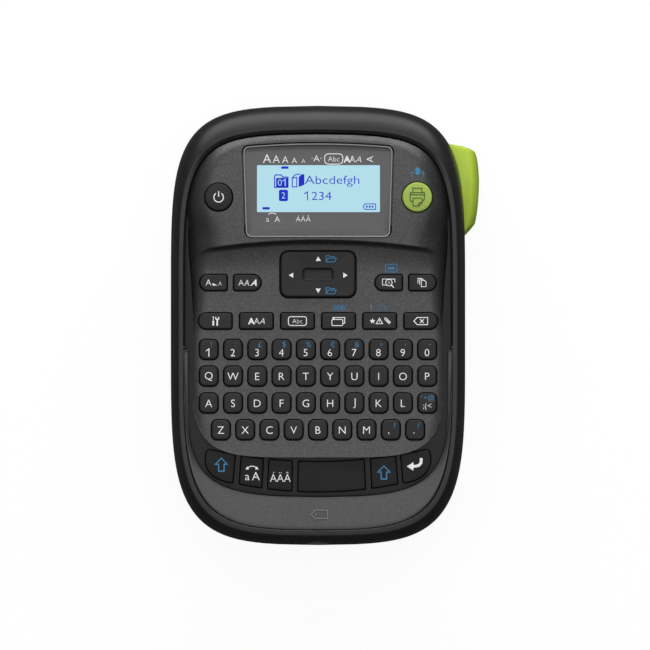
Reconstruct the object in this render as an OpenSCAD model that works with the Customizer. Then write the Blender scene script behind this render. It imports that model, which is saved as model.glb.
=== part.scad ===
// Handheld label maker lying on its back: +X right, +Y towards the display end, +Z out of the keyboard.
// The origin is at the centre of the flat back.

/* [Casing] */
// Width of the casing, without the cutter lever
body_w = 124; // [120:1:150]
// Length of the casing
body_l = 185; // [180:1:225]
// Height of the seam between the rear and front casings
seam_z = 32; // [30:0.5:33]
// Wall of the casings
wall = 2.2; // [1.6:0.1:2.8]
// Height of the rim's crest half way along the casing
rim_z = 50; // [49.5:0.1:52]
// Gap between fixed pieces that drop into each other
fit = 0.15; // [0.1:0.05:0.3]

/* [Face] */
// Height of the keyboard deck
deck_z = 49; // [48.5:0.1:49.5]
// Height of the raised display area
pillow_z = 54; // [53.5:0.1:56]
// Height of the band that holds the bottom keys
band_z = 48; // [47.8:0.1:48.4]
// Thickness of the panel
panel_t = 2.5; // [2:0.1:2.6]
// Width of the lower trim plate at its middle
chin_w = 13.9; // [8:0.1:16]
// Length of the display area, from its top edge to its curved lower edge
pillow_l = 45.9; // [43.6:0.1:48]
// Width of the display window at its top edge
window_w = 63.2; // [60:0.2:66]
// Length of the display window
window_l = 39; // [38:0.5:40]

/* [Keys] */
// Distance between neighbouring letter keys
key_pitch = 10.2; // [9.8:0.1:10.6]
// Distance between rows of letter keys
row_pitch = 11.25; // [10.6:0.05:11.6]
// Width of a letter key
key_w = 7.8; // [7:0.1:8.6]
// Length of a letter key
key_l = 8.4; // [7.6:0.1:9.4]
// Height of a key above the surface around it
key_rise = 1.6; // [1:0.1:2.5]
// Gap between a key and its opening
key_gap = 0.35; // [0.25:0.05:0.5]
// Travel of a key
key_travel = 1.1; // [0.8:0.1:1.2]
// Radius of the power key
power_r = 5.8; // [5:0.1:6.4]
// Radius of the print key
print_r = 6.2; // [5:0.1:6.6]
// Width of the cursor pad
nav_w = 31.6; // [28:0.2:33]
// Length of the cursor pad
nav_l = 19.4; // [17:0.2:20]

/* [Tape drive] */
// Tooth module of the gears
gear_module = 0.8; // [0.7:0.05:0.8]
// Width of the label tape
tape_w = 18; // [12:1:18]
// Radius of the full tape roll
roll_r = 21.5; // [12:0.5:22]
// Radius of the platen's rubber
platen_r = 4.5; // [4:0.1:4.8]
// Radial clearance of a shaft in its bore
running = 0.05; // [0.03:0.01:0.08]

/* [Power] */
// Diameter of a battery cell
cell_d = 14.4; // [14:0.1:14.6]
// Length of a battery cell's can
cell_l = 48.9; // [48:0.1:49.2]
// Number of battery cells
cells = 6; // [2:1:6]

/* [Hidden] */
$fn = 32;
eps = 0.01;
outline_steps = 72;
top_power = 5.1;
bottom_power = 4.7;
panel_power = 5;
bow_r = 450;
top_y = body_l / 2;
bottom_y = -body_l / 2;
right_x = body_w / 2;

// Casing rings as [height, side inset, top inset, bottom inset, share of the rim's slope].
rear_rings = [[0, 7, 7, 7, 0], [1.2, 4.6, 4.6, 4.6, 0], [4, 2.6, 2.6, 2.6, 0],
              [12, 1, 1, 1, 0], [seam_z, 0, 0, 0, 0]];
rim_slope = 0.02;
rim_inset = [3.5, 9.5, 4];
front_rings = [[seam_z, 0, 0, 0, 0], [42, 0.7, 0.35, 0.8, 0.1], [45, 1.2, 1, 1.5, 0.35],
               [47.3, 1.9, 3.1, 2.3, 0.65], [48.9, 2.65, 5.9, 3.05, 0.9],
               [rim_z, rim_inset[0], rim_inset[1], rim_inset[2], 1]];
crest_w = [2, 2.1, 2.5];
mouth_inset = rim_inset + crest_w;
seat_z = 46.4;
ledge_w = 3.5;
ledge_t = 1.8;
panel_z = deck_z - panel_t;

// Rear cover and its snap hinge.
cover_t = 2.2;
cover_gap = 0.4;
cover_inset = 8.5;
hinge_z = 1.7;
hinge_y = top_y - 13.5;
hinge_r = 1.7;
hinge_pin_r = 1;
hinge_half_w = 26;
ear_w = 4;
cover_top_inset = top_y - hinge_y + 2.6;

// Cutter lever: it turns on a pin and pushes the blade carriage.
lever_z = [8.8, 30.6];
lever_pivot = [right_x - 8, top_y - 56.5];
lever_pin_r = 1.5;
nose = [right_x - 13.9, top_y - 18.5];
nose_r = 2;

// Tape path and drive.
tape_x = right_x - 30;
head_y = top_y - 34.5;
tape_z = [8, 8 + tape_w];
tape_t = 0.2;
platen_gap = 0.3;
platen = [tape_x + platen_gap + platen_r, head_y];
shaft_r = 1.5;
floor_z = [31, 33];
low_gear_z = [33.6, 36.2];
high_gear_z = [36.9, 39.6];
pinion_teeth = 12;
reduction_teeth = 30;
step_teeth = 12;
transfer_teeth = 16;
platen_teeth = 22;
takeup_teeth = 34;
addendum = 0.8;
dedendum = 1.1;
pressure_angle = 20;
backlash = 0.16;
transfer_at = -85;
reduction_at = -80;
motor_at = -65;
takeup_at = 195;
function mesh_distance(a, b) = (a + b) * gear_module / 2;
function polar(r, angle) = [r * cos(angle), r * sin(angle)];
transfer = platen + polar(mesh_distance(platen_teeth, transfer_teeth), transfer_at);
reduction = transfer + polar(mesh_distance(transfer_teeth, step_teeth), reduction_at);
motor = reduction + polar(mesh_distance(reduction_teeth, pinion_teeth), motor_at);
takeup = transfer + polar(mesh_distance(transfer_teeth, takeup_teeth), takeup_at);
motor_r = 10;

// Tape bay and cartridge.
bay_left = tape_x - 74.5;
bay_right = tape_x + 11.5;
bay_low = top_y - 94.5;
bay_top = top_y - 24.5;
bay_wall = 1.6;
jog_x = tape_x + 2.5;
jog_y = top_y - 61.5;
cartridge_low = [tape_x - 72, bay_low + 2, 4];
cartridge_high = [tape_x - 4.5, bay_top - 2, 30];
cartridge_wall = 1.2;
roll_at = [tape_x - 44, bay_low + 39];
supply_at = [cartridge_high[0] - cartridge_wall - 6.8, bay_low + 26];
spool_r = 6.5;
spool_z = [6, 28];
guide_at = [tape_x - 1.6, bay_low + 11.5];

// Print head.
arm_x = [tape_x - 3.4, tape_x - 1.6];
head_x = [tape_x - 1.6, tape_x - 0.4];
head_pivot = [tape_x - 2.5, head_y - 14];
head_z = [7, 28];
head_half = 8;
head_pin_r = 1;

// Cutter.
fixed_blade_y = [bay_top + 4, bay_top + 4.6];
moving_blade_y = [bay_top + 4.7, bay_top + 5.3];
blade_z = [7, 29];
carriage_x = [right_x - 21.5, right_x - 16];

// Batteries.
cell_pitch = cell_d + 0.6;
nub_l = 1.6;
cell_span = cell_l + nub_l;
tray_low = bottom_y + 16.9;
cell_z = 10.4;
contact_l = 4.3;
tray_high = tray_low + cell_span + 2 * contact_l;
tray_half = cells * cell_pitch / 2 + 0.2;
tray_floor = [18, 19.6];

// Screws through the inner frame into the front casing.
screw_at = [[-right_x + 13.8, top_y - 30.5], [-right_x + 13.8, bay_low - 4],
            [right_x - 13.8, bay_low - 4], [-20, bottom_y + 12], [20, bottom_y + 12]];
screw_r = 1.25;
screw_head_r = 2.6;
well_z = 26;
boss_z = [floor_z[1] + 0.2, 40.6];

// Boards.
board_z = [40.6, 42.2];
mat_z = [42.2, 43.2];
dome_z = 43.9;
key_low = 45.2;
flange_t = 1.1;
// A letter key leaves a web of panel beside it, and its flange clears the next key's.
key_web = 0.8;
letter_w = min(key_w, key_pitch - 2 * key_gap - key_web);
letter_l = min(key_l, row_pitch - 2 * key_gap - key_web);
flange_w = min(0.7, (key_pitch - letter_w) / 2 - 0.15, (row_pitch - letter_l) / 2 - 0.15);

// Key rows from the display end to the near end.
first_row_y = -10.1;
function row_y(i) = first_row_y - i * row_pitch;
function row_xs(count) = [for (i = [0 : count - 1]) (i - (count - 1) / 2) * key_pitch];
letter_r = 2.3;
small_r = 0.9;
tool_l = 6.6;
tool_w = 13.9;
tool_y = 1.85;
tool_pitch = 17.27;
upper_w = 11.3;
upper_y = 18;
upper_x = [29.8, 43.9];
nav_y = 21.5;
nav_r = 3.4;
nav_gap = 0.5;
pivot_z = 44.6;
pivot_r = 0.9;
pivot_half = 6.5;
round_keys_x = 41.7;
round_keys_y = top_y - 38.6;
pillow_edge_y = top_y - mouth_inset[1] - pillow_l;
pillow_edge_r = 200;
pillow_wall = 2.5;
window_y = top_y - 35.5;
window_taper = 1.1;

// Band of bottom keys: between two arcs, split by lines that fan out.
band_top_y = bottom_y + 35.7;
band_top_r = 210;
band_low_y = bottom_y + 22.2;
band_low_r = 166;
band_fan = 1.03;
band_keys = [[-32.5, -22.6], [-20.9, -10.4], [-8.6, 19.7], [21.7, 32.9]];
end_key = [34.4, 46];
end_corner = [11.8, 9.4];
island_half = 51;
island_taper = 1.3;
island_r = 7;
island_low_y = bottom_y + 37.1;

// ---- outlines and general shapes ----

function bend(value, power) = sign(value) * pow(abs(value), 2 / power);

// The casing's plan outline, brought in from each side. Its ends bow outward.
function plan(side, top, bottom, n_top = top_power, n_low = bottom_power) =
    [for (i = [0 : outline_steps - 1])
        let (c = cos(360 * i / outline_steps), s = sin(360 * i / outline_steps),
             n = s >= 0 ? n_top : n_low,
             x = bend(c, n) * (right_x - side),
             half = (s >= 0 ? top_y - top : -bottom_y - bottom) - x * x / (2 * bow_r))
        [x, bend(s, n) * half]];

function ring(r, inset) =
    [for (p = plan(r[1] + inset, r[2] + inset, r[3] + inset))
        [p[0], p[1], r[0] + r[4] * rim_slope * p[1]]];

module loft(rings) {
    n = len(rings[0]);
    k = len(rings);
    points = [for (r = rings) each r];
    sides = [for (j = [0 : k - 2], i = [0 : n - 1])
        let (a = j * n + i, b = j * n + (i + 1) % n)
        each [[a, a + n, b + n], [a, b + n, b]]];
    low = [for (i = [0 : n - 1]) i];
    high = [for (i = [n - 1 : -1 : 0]) (k - 1) * n + i];
    polyhedron(points = points, faces = concat([low], sides, [high]));
}

module prism(z, points) {
    translate([0, 0, z[0]]) linear_extrude(z[1] - z[0]) polygon(points);
}

module block(low, high) {
    translate(low) cube(high - low);
}

module post(at, r, z) {
    translate([at[0], at[1], z[0]]) cylinder(r = r, h = z[1] - z[0]);
}

module cavity(gap) {
    grown = wall + gap;
    loft([for (r = rear_rings) ring([r == rear_rings[0] ? cover_t + 0.2 : r[0], r[1], r[2], r[3], 0],
                                    r == rear_rings[0] ? grown - 1.4 : grown)]);
}

// A rectangle with its own corner radius at each end.
module tablet(w, l, r_left, r_right) {
    polygon([for (k = [0 : 3])
        let (r = k == 0 || k == 3 ? r_right : r_left, sx = k == 0 || k == 3 ? 1 : -1, sy = k < 2 ? 1 : -1)
        for (i = [0 : 6])
            [sx * (w / 2 - r), sy * (l / 2 - r)] + polar(r, 90 * k + 15 * i)]);
}

// ---- keys ----

module key_solid(at, w, l, r_left, r_right, high) {
    translate([at[0], at[1], key_low]) {
        linear_extrude(high - key_low) tablet(w, l, r_left, r_right);
        linear_extrude(flange_t)
            tablet(w + 2 * flange_w, l + 2 * flange_w, r_left + flange_w, r_right + flange_w);
    }
}

module key_hole(at, w, l, r_left, r_right) {
    translate([at[0], at[1], panel_z - 1])
        linear_extrude(panel_t + 2)
            tablet(w + 2 * key_gap, l + 2 * key_gap, r_left + key_gap, r_right + key_gap);
}

module letter_row(row, count) {
    color("#2b2b2d")
        for (x = row_xs(count))
            key_solid([x, row_y(row)], letter_w, letter_l, letter_r, letter_r, deck_z + key_rise);
}

function tool_at(i) = [(i - 2.5) * tool_pitch, tool_y];
function tool_left(i) = i == 0 ? tool_l / 2 : small_r;
function tool_right(i) = i == 5 ? tool_l / 2 : small_r;

module tool_key(i) {
    color("#2b2b2d")
        key_solid(tool_at(i), tool_w, tool_l, tool_left(i), tool_right(i), deck_z + key_rise);
}

upper_keys = [[-upper_x[1], true], [-upper_x[0], false], [upper_x[0], true], [upper_x[1], false]];

module upper_key(i) {
    k = upper_keys[i];
    color("#2b2b2d")
        key_solid([k[0], upper_y], upper_w, tool_l, k[1] ? tool_l / 2 : small_r,
                  k[1] ? small_r : tool_l / 2, deck_z + key_rise);
}

module round_key(side, r, shade) {
    color(shade) {
        at = [side * round_keys_x, round_keys_y];
        post(at, r, [pillow_z - 3.6, pillow_z + 1]);
        post(at, r + flange_w, [pillow_z - 3.6, pillow_z - 2.5]);
        post(at, 2, [key_low, pillow_z - 3.6]);
    }
}

function arc_y(x, y, r) = y + r - sqrt(r * r - x * x);

function band_side(x, y) =
    let (share = (band_top_y - y) / (band_top_y - band_low_y)) x * (1 + (band_fan - 1) * share);

module band_shape(x) {
    steps = 6;
    xs = [for (i = [0 : steps]) x[0] + (x[1] - x[0]) * i / steps];
    polygon(concat([for (v = xs) [v * band_fan, arc_y(v * band_fan, band_low_y, band_low_r)]],
                   [for (i = [steps : -1 : 0]) [xs[i], arc_y(xs[i], band_top_y, band_top_r)]]));
}

// The outer keys of the band end in a wide curved corner.
module end_shape() {
    steps = 6;
    x = end_key;
    corner_y = arc_y(x[0] * band_fan, band_low_y, band_low_r);
    polygon(concat([[x[0], arc_y(x[0], band_top_y, band_top_r)],
                    [x[0] * band_fan, corner_y]],
                   [for (i = [0 : steps])
                       [x[0] * band_fan + end_corner[0] * sin(90 * i / steps),
                        corner_y + end_corner[1] * (1 - cos(90 * i / steps))]],
                   [[x[1], arc_y(x[1], band_top_y, band_top_r) - 1],
                    [x[1] - 1.6, arc_y(x[1] - 1.6, band_top_y, band_top_r)]]));
}

module band_outline(i) {
    if (i == 0) mirror([1, 0]) end_shape();
    else if (i == 5) end_shape();
    else band_shape(band_keys[i - 1]);
}

module band_key(i) {
    color("#232325") {
        translate([0, 0, key_low])
            linear_extrude(band_z + 0.8 - key_low) offset(delta = -key_gap) band_outline(i);
        translate([0, 0, key_low])
            linear_extrude(flange_t) offset(delta = flange_w - key_gap) band_outline(i);
    }
}

module nav_pad() {
    color("#2b2b2d") difference() {
        translate([0, nav_y, key_low])
            linear_extrude(deck_z + 1.8 - key_low) tablet(nav_w, nav_l, nav_r, nav_r);
        translate([0, nav_y, deck_z + 1])
            linear_extrude(2) tablet(12.4, 5, 1.5, 1.5);
        translate([0, nav_y, pivot_z]) rotate([90, 0, 0])
            cylinder(r = pivot_r + running, h = 2 * pivot_half + 1, center = true);
        block([-pivot_half - 0.8, nav_y - 1.5, key_low - 1],
              [pivot_half + 0.8, nav_y + 1.5, pivot_z + pivot_r + 0.5]);
        block([-2.3, nav_y - 2.3, key_low - 1], [2.3, nav_y + 2.3, pivot_z + pivot_r + 0.3]);
    }
}

// A cross pin: it rocks in the mat's cradles about X and carries the pad about Y.
module nav_pivot() {
    color("dimgray") translate([0, nav_y, pivot_z]) {
        rotate([0, 90, 0]) cylinder(r = pivot_r, h = 2 * pivot_half, center = true);
        rotate([90, 0, 0]) cylinder(r = pivot_r, h = 2 * pivot_half, center = true);
        cylinder(r = 1.8, h = 2 * pivot_r, center = true);
    }
}

// ---- face ----

panel_top = mouth_inset[1];
panel_low = mouth_inset[2] + chin_w;

module panel_outline(gap) {
    polygon(plan(mouth_inset[0] + gap, panel_top + gap, panel_low + gap, panel_power, panel_power));
}

module pillow_outline(gap) {
    r = pillow_edge_r;
    w = right_x + 5;
    intersection() {
        panel_outline(gap + 0.3);
        translate([0, pillow_edge_y + gap])
            polygon(concat([for (i = [-12 : 12]) let (x = w * i / 12) [x, sqrt(r * r - x * x) - r]],
                           [[w, top_y], [-w, top_y]]));
    }
}

module island_outline() {
    half = island_half;
    foot = half - island_taper;
    corner = [foot - island_r, arc_y(foot - island_r, island_low_y, band_top_r) + island_r];
    left = [for (a = [180 : 15 : 270]) [-corner[0], corner[1]] + polar(island_r, a)];
    right = [for (a = [270 : 15 : 360]) corner + polar(island_r, a)];
    low = [for (i = [1 : 7]) let (x = corner[0] * (i / 4 - 1)) [x, arc_y(x, island_low_y, band_top_r)]];
    polygon(concat(left, low, right, [[half, 0], [half, pillow_edge_y + 5],
                                      [-half, pillow_edge_y + 5], [-half, 0]]));
}

module window_outline(gap) {
    offset(r = 3) offset(delta = -3)
        polygon([for (s = [-1, 1], t = [0 : 8])
            let (x = -s * (window_w / 2 + gap) * (s < 0 ? -1 : 1) * (t / 4 - 1) * (s < 0 ? -1 : 1))
            s < 0 ? [(x < 0 ? -1 : 1) * abs(x) * (1 - window_taper / window_w * 2),
                     window_y - window_l / 2 - gap]
                  : [x, window_y + window_l / 2 + gap - 1.4 * pow(2 * x / window_w, 2)]]);
}

module face_panel() {
    color("#4a4a4c") difference() {
        union() {
            translate([0, 0, seat_z]) linear_extrude(band_z - seat_z) panel_outline(fit);
            translate([0, 0, seat_z]) linear_extrude(deck_z - seat_z) intersection() {
                panel_outline(fit);
                island_outline();
            }
            translate([0, 0, seat_z]) linear_extrude(pillow_z - seat_z) pillow_outline(fit);
        }
        translate([0, 0, seat_z - 1])
            linear_extrude(pillow_z - panel_t + 0.3 - seat_z + 1) pillow_outline(pillow_wall);
        translate([0, 0, seat_z]) linear_extrude(pillow_z) window_outline(fit);
        for (side = [-1, 1])
            post([side * round_keys_x, round_keys_y], (side < 0 ? power_r : print_r) + key_gap,
                 [seat_z, pillow_z + 1]);
        for (row = [0 : 3])
            for (x = row_xs(row == 3 ? 9 : 10))
                key_hole([x, row_y(row)], letter_w, letter_l, letter_r, letter_r);
        for (i = [0 : 5])
            key_hole(tool_at(i), tool_w, tool_l, tool_left(i), tool_right(i));
        for (i = [0 : 3])
            key_hole([upper_keys[i][0], upper_y], upper_w, tool_l,
                     upper_keys[i][1] ? tool_l / 2 : small_r, upper_keys[i][1] ? small_r : tool_l / 2);
        translate([0, nav_y, panel_z - 1])
            linear_extrude(panel_t + 2)
                tablet(nav_w + 2 * nav_gap, nav_l + 2 * nav_gap, nav_r + nav_gap, nav_r + nav_gap);
        for (i = [0 : 5])
            translate([0, 0, seat_z - 1]) linear_extrude(panel_t + 3) band_outline(i);
    }
}

module chin_plate() {
    color("#606062") translate([0, 0, seat_z]) linear_extrude(deck_z + 0.2 - seat_z) difference() {
        polygon(plan(mouth_inset[0] + fit, mouth_inset[1], mouth_inset[2] + fit));
        polygon(plan(mouth_inset[0], panel_top, panel_low, panel_power, panel_power));
        translate([-right_x, -6]) square([body_w, top_y + 6]);
    }
}

module lcd_window() {
    color("#7f858c") translate([0, 0, pillow_z - 1.8]) linear_extrude(2.2) window_outline(0);
}

module lcd_module() {
    color("#bfe6f5") block([-33.5, window_y - 15, seat_z + 0.5],
                          [33.5, window_y + 15, pillow_z - panel_t + 0.3]);
}

// ---- boards ----

module keypad_mat() {
    color("gray") {
        translate([0, 0, mat_z[0]]) linear_extrude(mat_z[1] - mat_z[0])
            polygon(plan(10, 26, 15));
        for (row = [0 : 3], x = row_xs(row == 3 ? 9 : 10))
            post([x, row_y(row)], 2, [mat_z[0], dome_z]);
        for (i = [0 : 5]) post(tool_at(i), 2, [mat_z[0], dome_z]);
        difference() {
            for (s = [-1, 1])
                block([s * (pivot_half - 1.5) - 1, nav_y - 1.6, mat_z[0]],
                      [s * (pivot_half - 1.5) + 1, nav_y + 1.6, pivot_z]);
            translate([0, nav_y, pivot_z]) rotate([0, 90, 0])
                cylinder(r = pivot_r + running, h = 2 * pivot_half + 2, center = true);
        }
        for (i = [0 : 3]) post([upper_keys[i][0], upper_y], 2, [mat_z[0], dome_z]);
        for (s = [-1, 1]) post([s * round_keys_x, round_keys_y], 2, [mat_z[0], dome_z]);
    }
}

module main_board() {
    color("darkgreen") translate([0, 0, board_z[0]])
        linear_extrude(board_z[1] - board_z[0]) polygon(plan(9, 14, 12));
}

// ---- casings ----

module front_case() {
    color("#2e2e30") difference() {
        union() {
            difference() {
                loft([for (r = front_rings) ring(r, 0)]);
                loft([for (r = [[seam_z - 1, 0, 0, 0, 0], [40, 0.5, 1, 0.6, 0],
                                [seat_z - ledge_t, 1.6, 2.6, 2, 0]]) ring(r, wall)]);
            }
            intersection() {
                loft([for (r = front_rings) ring(r, wall / 2)]);
                for (at = screw_at) screw_boss(at);
            }
        }
        translate([0, 0, seat_z]) linear_extrude(20)
            polygon(plan(mouth_inset[0], mouth_inset[1], mouth_inset[2]));
        translate([0, 0, boss_z[1] + 0.2]) linear_extrude(20)
            polygon(plan(mouth_inset[0] + ledge_w, mouth_inset[1] + ledge_w, mouth_inset[2] + ledge_w));
        for (at = screw_at) post(at, screw_r + fit / 3, [boss_z[0] - 1, boss_z[1] - 0.6]);
        finger_scoop();
    }
}

module screw_boss(at) {
    rib = abs(at[0]) > abs(at[1]) / 2 ? [sign(at[0]) * 16, 1.2] : [1.2, -16];
    post(at, 3.2, boss_z);
    low = [min(at[0], at[0] + rib[0]), min(at[1], at[1] + rib[1])];
    high = [max(at[0], at[0] + rib[0]), max(at[1], at[1] + rib[1])];
    block([low[0], low[1], boss_z[0] + 1], [high[0], high[1], boss_z[1]]);
}

scoop_half = 6.5;
scoop_depth = 1.6;

module finger_scoop() {
    r = (scoop_half * scoop_half + scoop_depth * scoop_depth) / (2 * scoop_depth);
    post([0, bottom_y - r + scoop_depth], r, [seam_z + 2, rim_z + 2]);
}

module rear_case() {
    color("#262628") difference() {
        union() {
            difference() {
                loft([for (r = rear_rings) ring(r, 0)]);
                cavity(0);
                translate([0, 0, seam_z - 1]) linear_extrude(2) polygon(plan(wall, wall, wall));
                translate([0, 0, -1]) linear_extrude(cover_t + 2) cover_outline(0);
            }
            for (s = [-1, 1])
                block([s * (hinge_half_w + 0.4 + ear_w / 2) - ear_w / 2, hinge_y - 2.2, 0],
                      [s * (hinge_half_w + 0.4 + ear_w / 2) + ear_w / 2, hinge_y + 3, hinge_z + 2.6]);
            post(lever_pivot, 3, [cover_t + 0.2, lever_z[0] - 0.4]);
        }
        for (s = [-1, 1])
            translate([s * (hinge_half_w - 2), hinge_y, hinge_z]) rotate([0, s * 90, 0])
                cylinder(r = hinge_pin_r + running, h = ear_w + 2.1);
        post(lever_pivot, lever_pin_r + 0.02, [4.4, lever_z[0]]);
        // Window for the cutter lever, open up to the seam.
        block([right_x - 18, lever_pivot[1] - 1.2, lever_z[0] - 0.8],
              [right_x + 10, nose[1] + 4.2, seam_z + 1]);
        // Slot where the label comes out.
        block([tape_x - 1.5, top_y - 12, tape_z[0] - 1], [tape_x + 1.5, top_y + 1, tape_z[1] + 3]);
        // Power inlet.
        translate([-right_x + 6, jack_y, jack_z]) rotate([0, -90, 0]) cylinder(r = jack_r + 0.6, h = 10);
    }
}

// The rear opening and, with a gap, the cover that closes it.
module cover_outline(gap) {
    polygon(plan(cover_inset + gap, cover_top_inset + gap, cover_inset + gap));
    translate([-hinge_half_w - 0.4 + gap, 0])
        square([2 * (hinge_half_w + 0.4 - gap), hinge_y + hinge_r + 0.5 - gap * 1.25]);
}

module rear_cover() {
    color("#262628") {
        difference() {
            translate([0, 0, 0]) linear_extrude(cover_t) cover_outline(cover_gap);
            block([-body_w, hinge_y, -1], [body_w, hinge_y + 5, cover_t + 1]);
        }
        translate([-hinge_half_w, hinge_y, hinge_z]) rotate([0, 90, 0])
            cylinder(r = hinge_r, h = 2 * hinge_half_w);
        translate([-hinge_half_w - ear_w + 0.5, hinge_y, hinge_z]) rotate([0, 90, 0])
            cylinder(r = hinge_pin_r, h = 2 * (hinge_half_w + ear_w - 0.5));
    }
}

module inner_frame() {
    color("#3a3a3c") difference() {
        intersection() {
            cavity_and_up();
            union() {
                block([-right_x, bay_low - 12, floor_z[0]], [right_x, bay_top + 4, floor_z[1]]);
                prism([3, floor_z[0]], bay_points(bay_wall));
                block([-tray_half - 1.4, tray_low - 1.4, 3],
                      [tray_half + 1.4, tray_high + 1.4, tray_floor[1]]);
                for (at = screw_at) post(at, 4, [3, boss_z[0]]);
                block([tape_x - 7, bay_top, blade_z[0]], [tape_x - 1.5, fixed_blade_y[0], floor_z[0]]);
                for (s = [-1, 1])
                    block([s * 30 - 1, tray_low + 20, tray_floor[0]], [s * 30 + 1, bay_low - 8, floor_z[1]]);
            }
        }
        prism([2, floor_z[0]], bay_points(0));
        block([-tray_half, tray_low, 2], [tray_half, tray_high, tray_floor[0]]);
        for (at = screw_at) {
            post(at, 3, [2, well_z]);
            post(at, screw_r + 0.35, [2, boss_z[0] + 1]);
        }
        post(platen, shaft_r + running, [30, 34]);
        post(takeup, 2 + running, [30, 34]);
        post(motor, 3, [30, 34]);
        post(lever_pivot, lever_pin_r + 0.02, [30, 34]);
        block([tape_x - 1.2, bay_top - 1, 6], [tape_x + 1.2, bay_top + 6, 29]);
    }
    color("#3a3a3c") {
        post(transfer, shaft_r, [floor_z[0], low_gear_z[1] + 0.3]);
        post(reduction, shaft_r, [floor_z[0], high_gear_z[1] + 0.4]);
        post(head_pivot, head_pin_r, [head_z[0] + 0.5, floor_z[1]]);
    }
}

// The inside of the casings, for cutting the frame to shape.
module cavity_and_up() {
    cavity(0.4);
    translate([0, 0, seam_z - 1]) linear_extrude(4) polygon(plan(wall + 0.6, wall + 1, wall + 0.7));
}

function bay_points(grow) =
    [[bay_left - grow, bay_low - grow], [jog_x + grow, bay_low - grow], [jog_x + grow, jog_y - grow],
     [bay_right + grow, jog_y - grow], [bay_right + grow, bay_top + grow],
     [bay_left - grow, bay_top + grow]];

module case_screws() {
    color("silver") for (at = screw_at) {
        post(at, screw_r, [well_z - 2, boss_z[1] - 1.2]);
        difference() {
            post(at, screw_head_r, [well_z - 2, well_z]);
            for (a = [0, 90])
                translate([at[0], at[1], well_z - 2]) rotate(a) cube([3, 0.7, 1.6], center = true);
        }
    }
}

// ---- power ----

jack_y = top_y - 63;
jack_z = 17;
jack_r = 2.75;

module cell_at(i) {
    flip = i % 2 == 0 ? 1 : -1;
    translate([(i - (cells - 1) / 2) * cell_pitch, (tray_low + tray_high) / 2, cell_z])
        rotate([flip * 90, 0, 0]) children();
}

module batteries() {
    color("#b08a3c") for (i = [0 : cells - 1]) cell_at(i) {
        translate([0, 0, -cell_span / 2]) cylinder(d = cell_d, h = cell_l);
        translate([0, 0, cell_l - cell_span / 2 - eps]) cylinder(r = 2.75, h = nub_l + eps);
    }
}

// A contact plate at each end of a cell, and a turned stack of rings for its spring.
module battery_contacts() {
    color("silver") for (i = [0 : cells - 1]) cell_at(i) {
        for (s = [-1, 1])
            translate([0, 0, s * (cell_span / 2 + contact_l - 0.35)]) cube([11, 11, 0.5], center = true);
        for (k = [0 : 3])
            translate([0, 0, -cell_span / 2 - 0.6 - k * 0.9]) rotate_extrude()
                translate([2.6 + k * 0.5, 0]) circle(0.48, $fn = 16);
    }
}

module dc_jack() {
    color("#1c1c1e") difference() {
        block([-right_x + 4.2, jack_y - 4.5, jack_z - 5],
              [bay_left - bay_wall, jack_y + 4.5, jack_z + 5]);
        translate([-right_x + 13, jack_y, jack_z]) rotate([0, -90, 0]) cylinder(r = jack_r, h = 12);
    }
    color("silver") translate([-right_x + 13.5, jack_y, jack_z]) rotate([0, -90, 0])
        cylinder(r = 1, h = 8.5);
}

// ---- cutter ----

module cutter_lever() {
    x = right_x;
    y = top_y;
    color("#9ccc2a") difference() {
        union() {
            prism(lever_z, [[x - 13.9, y - 20.5], [x - 8, y - 20.8], [x - 8, y - 26.5],
                            [x - 10.3, y - 52], [x - 11.5, y - 56], [x - 8, y - 60],
                            [x - 5.4, y - 58.2], [x - 0.6, y - 55.1], [x + 2.2, y - 52.2],
                            [x + 4.4, y - 49.8], [x + 5.4, y - 41.4], [x + 5.9, y - 32.1],
                            [x + 5.4, y - 24.6], [x + 4.1, y - 18.7], [x - 1, y - 16.8],
                            [x - 7.2, y - 15.7], [x - 13.9, y - 16.5]]);
            post(lever_pivot, 4, lever_z);
            post(nose, nose_r, lever_z);
        }
        post(lever_pivot, lever_pin_r + running, [0, 40]);
    }
}

module lever_pin() {
    color("silver") post(lever_pivot, lever_pin_r, [4.4, floor_z[1]]);
}

spring_x = [bay_right + bay_wall + 0.1, right_x - 9.4];
spring_y = head_y - 0.5;
spring_r = 2.4;
spring_wire = 0.3;
spring_turns = 4;

module lever_spring() {
    steps = 12 * spring_turns;
    sides = 5;
    pitch = (spring_x[1] - spring_x[0] - 2 * spring_wire) / spring_turns;
    coil = [for (j = [0 : steps])
        let (a = 360 * spring_turns * j / steps, x = spring_x[0] + spring_wire + pitch * a / 360)
        [for (i = [0 : sides - 1])
            let (b = -360 * i / sides, r = spring_r + spring_wire * cos(b))
            [x + spring_wire * sin(b), spring_y + r * cos(a), 19 + r * sin(a)]]];
    color("silver") loft(coil);
}

module blade_carriage() {
    color("#c9c9cc") {
        block([carriage_x[0], moving_blade_y[1], 10], [carriage_x[1], moving_blade_y[1] + 2.5, 28]);
        block([carriage_x[0], bay_top + 2, 15], [carriage_x[1], moving_blade_y[0], 23]);
        block([carriage_x[1] - 1, bay_top + 2, 15], [carriage_x[1], moving_blade_y[1] + 2.5, 23]);
    }
}

module moving_blade() {
    color("silver") block([tape_x + 2.5, moving_blade_y[0], 8], [carriage_x[1] - 1, moving_blade_y[1], 28]);
}

module fixed_blade() {
    color("silver") block([tape_x - 7, fixed_blade_y[0], 8], [tape_x - 0.6, fixed_blade_y[1], 28]);
}

// ---- print head and drive ----

module head_arm() {
    color("silver") difference() {
        union() {
            block([arm_x[0], head_pivot[1] + 1, head_z[0]], [arm_x[1], head_y + head_half + 1, head_z[1]]);
            post(head_pivot, 1.8, head_z);
        }
        post(head_pivot, head_pin_r + running, [0, 40]);
    }
}

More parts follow.
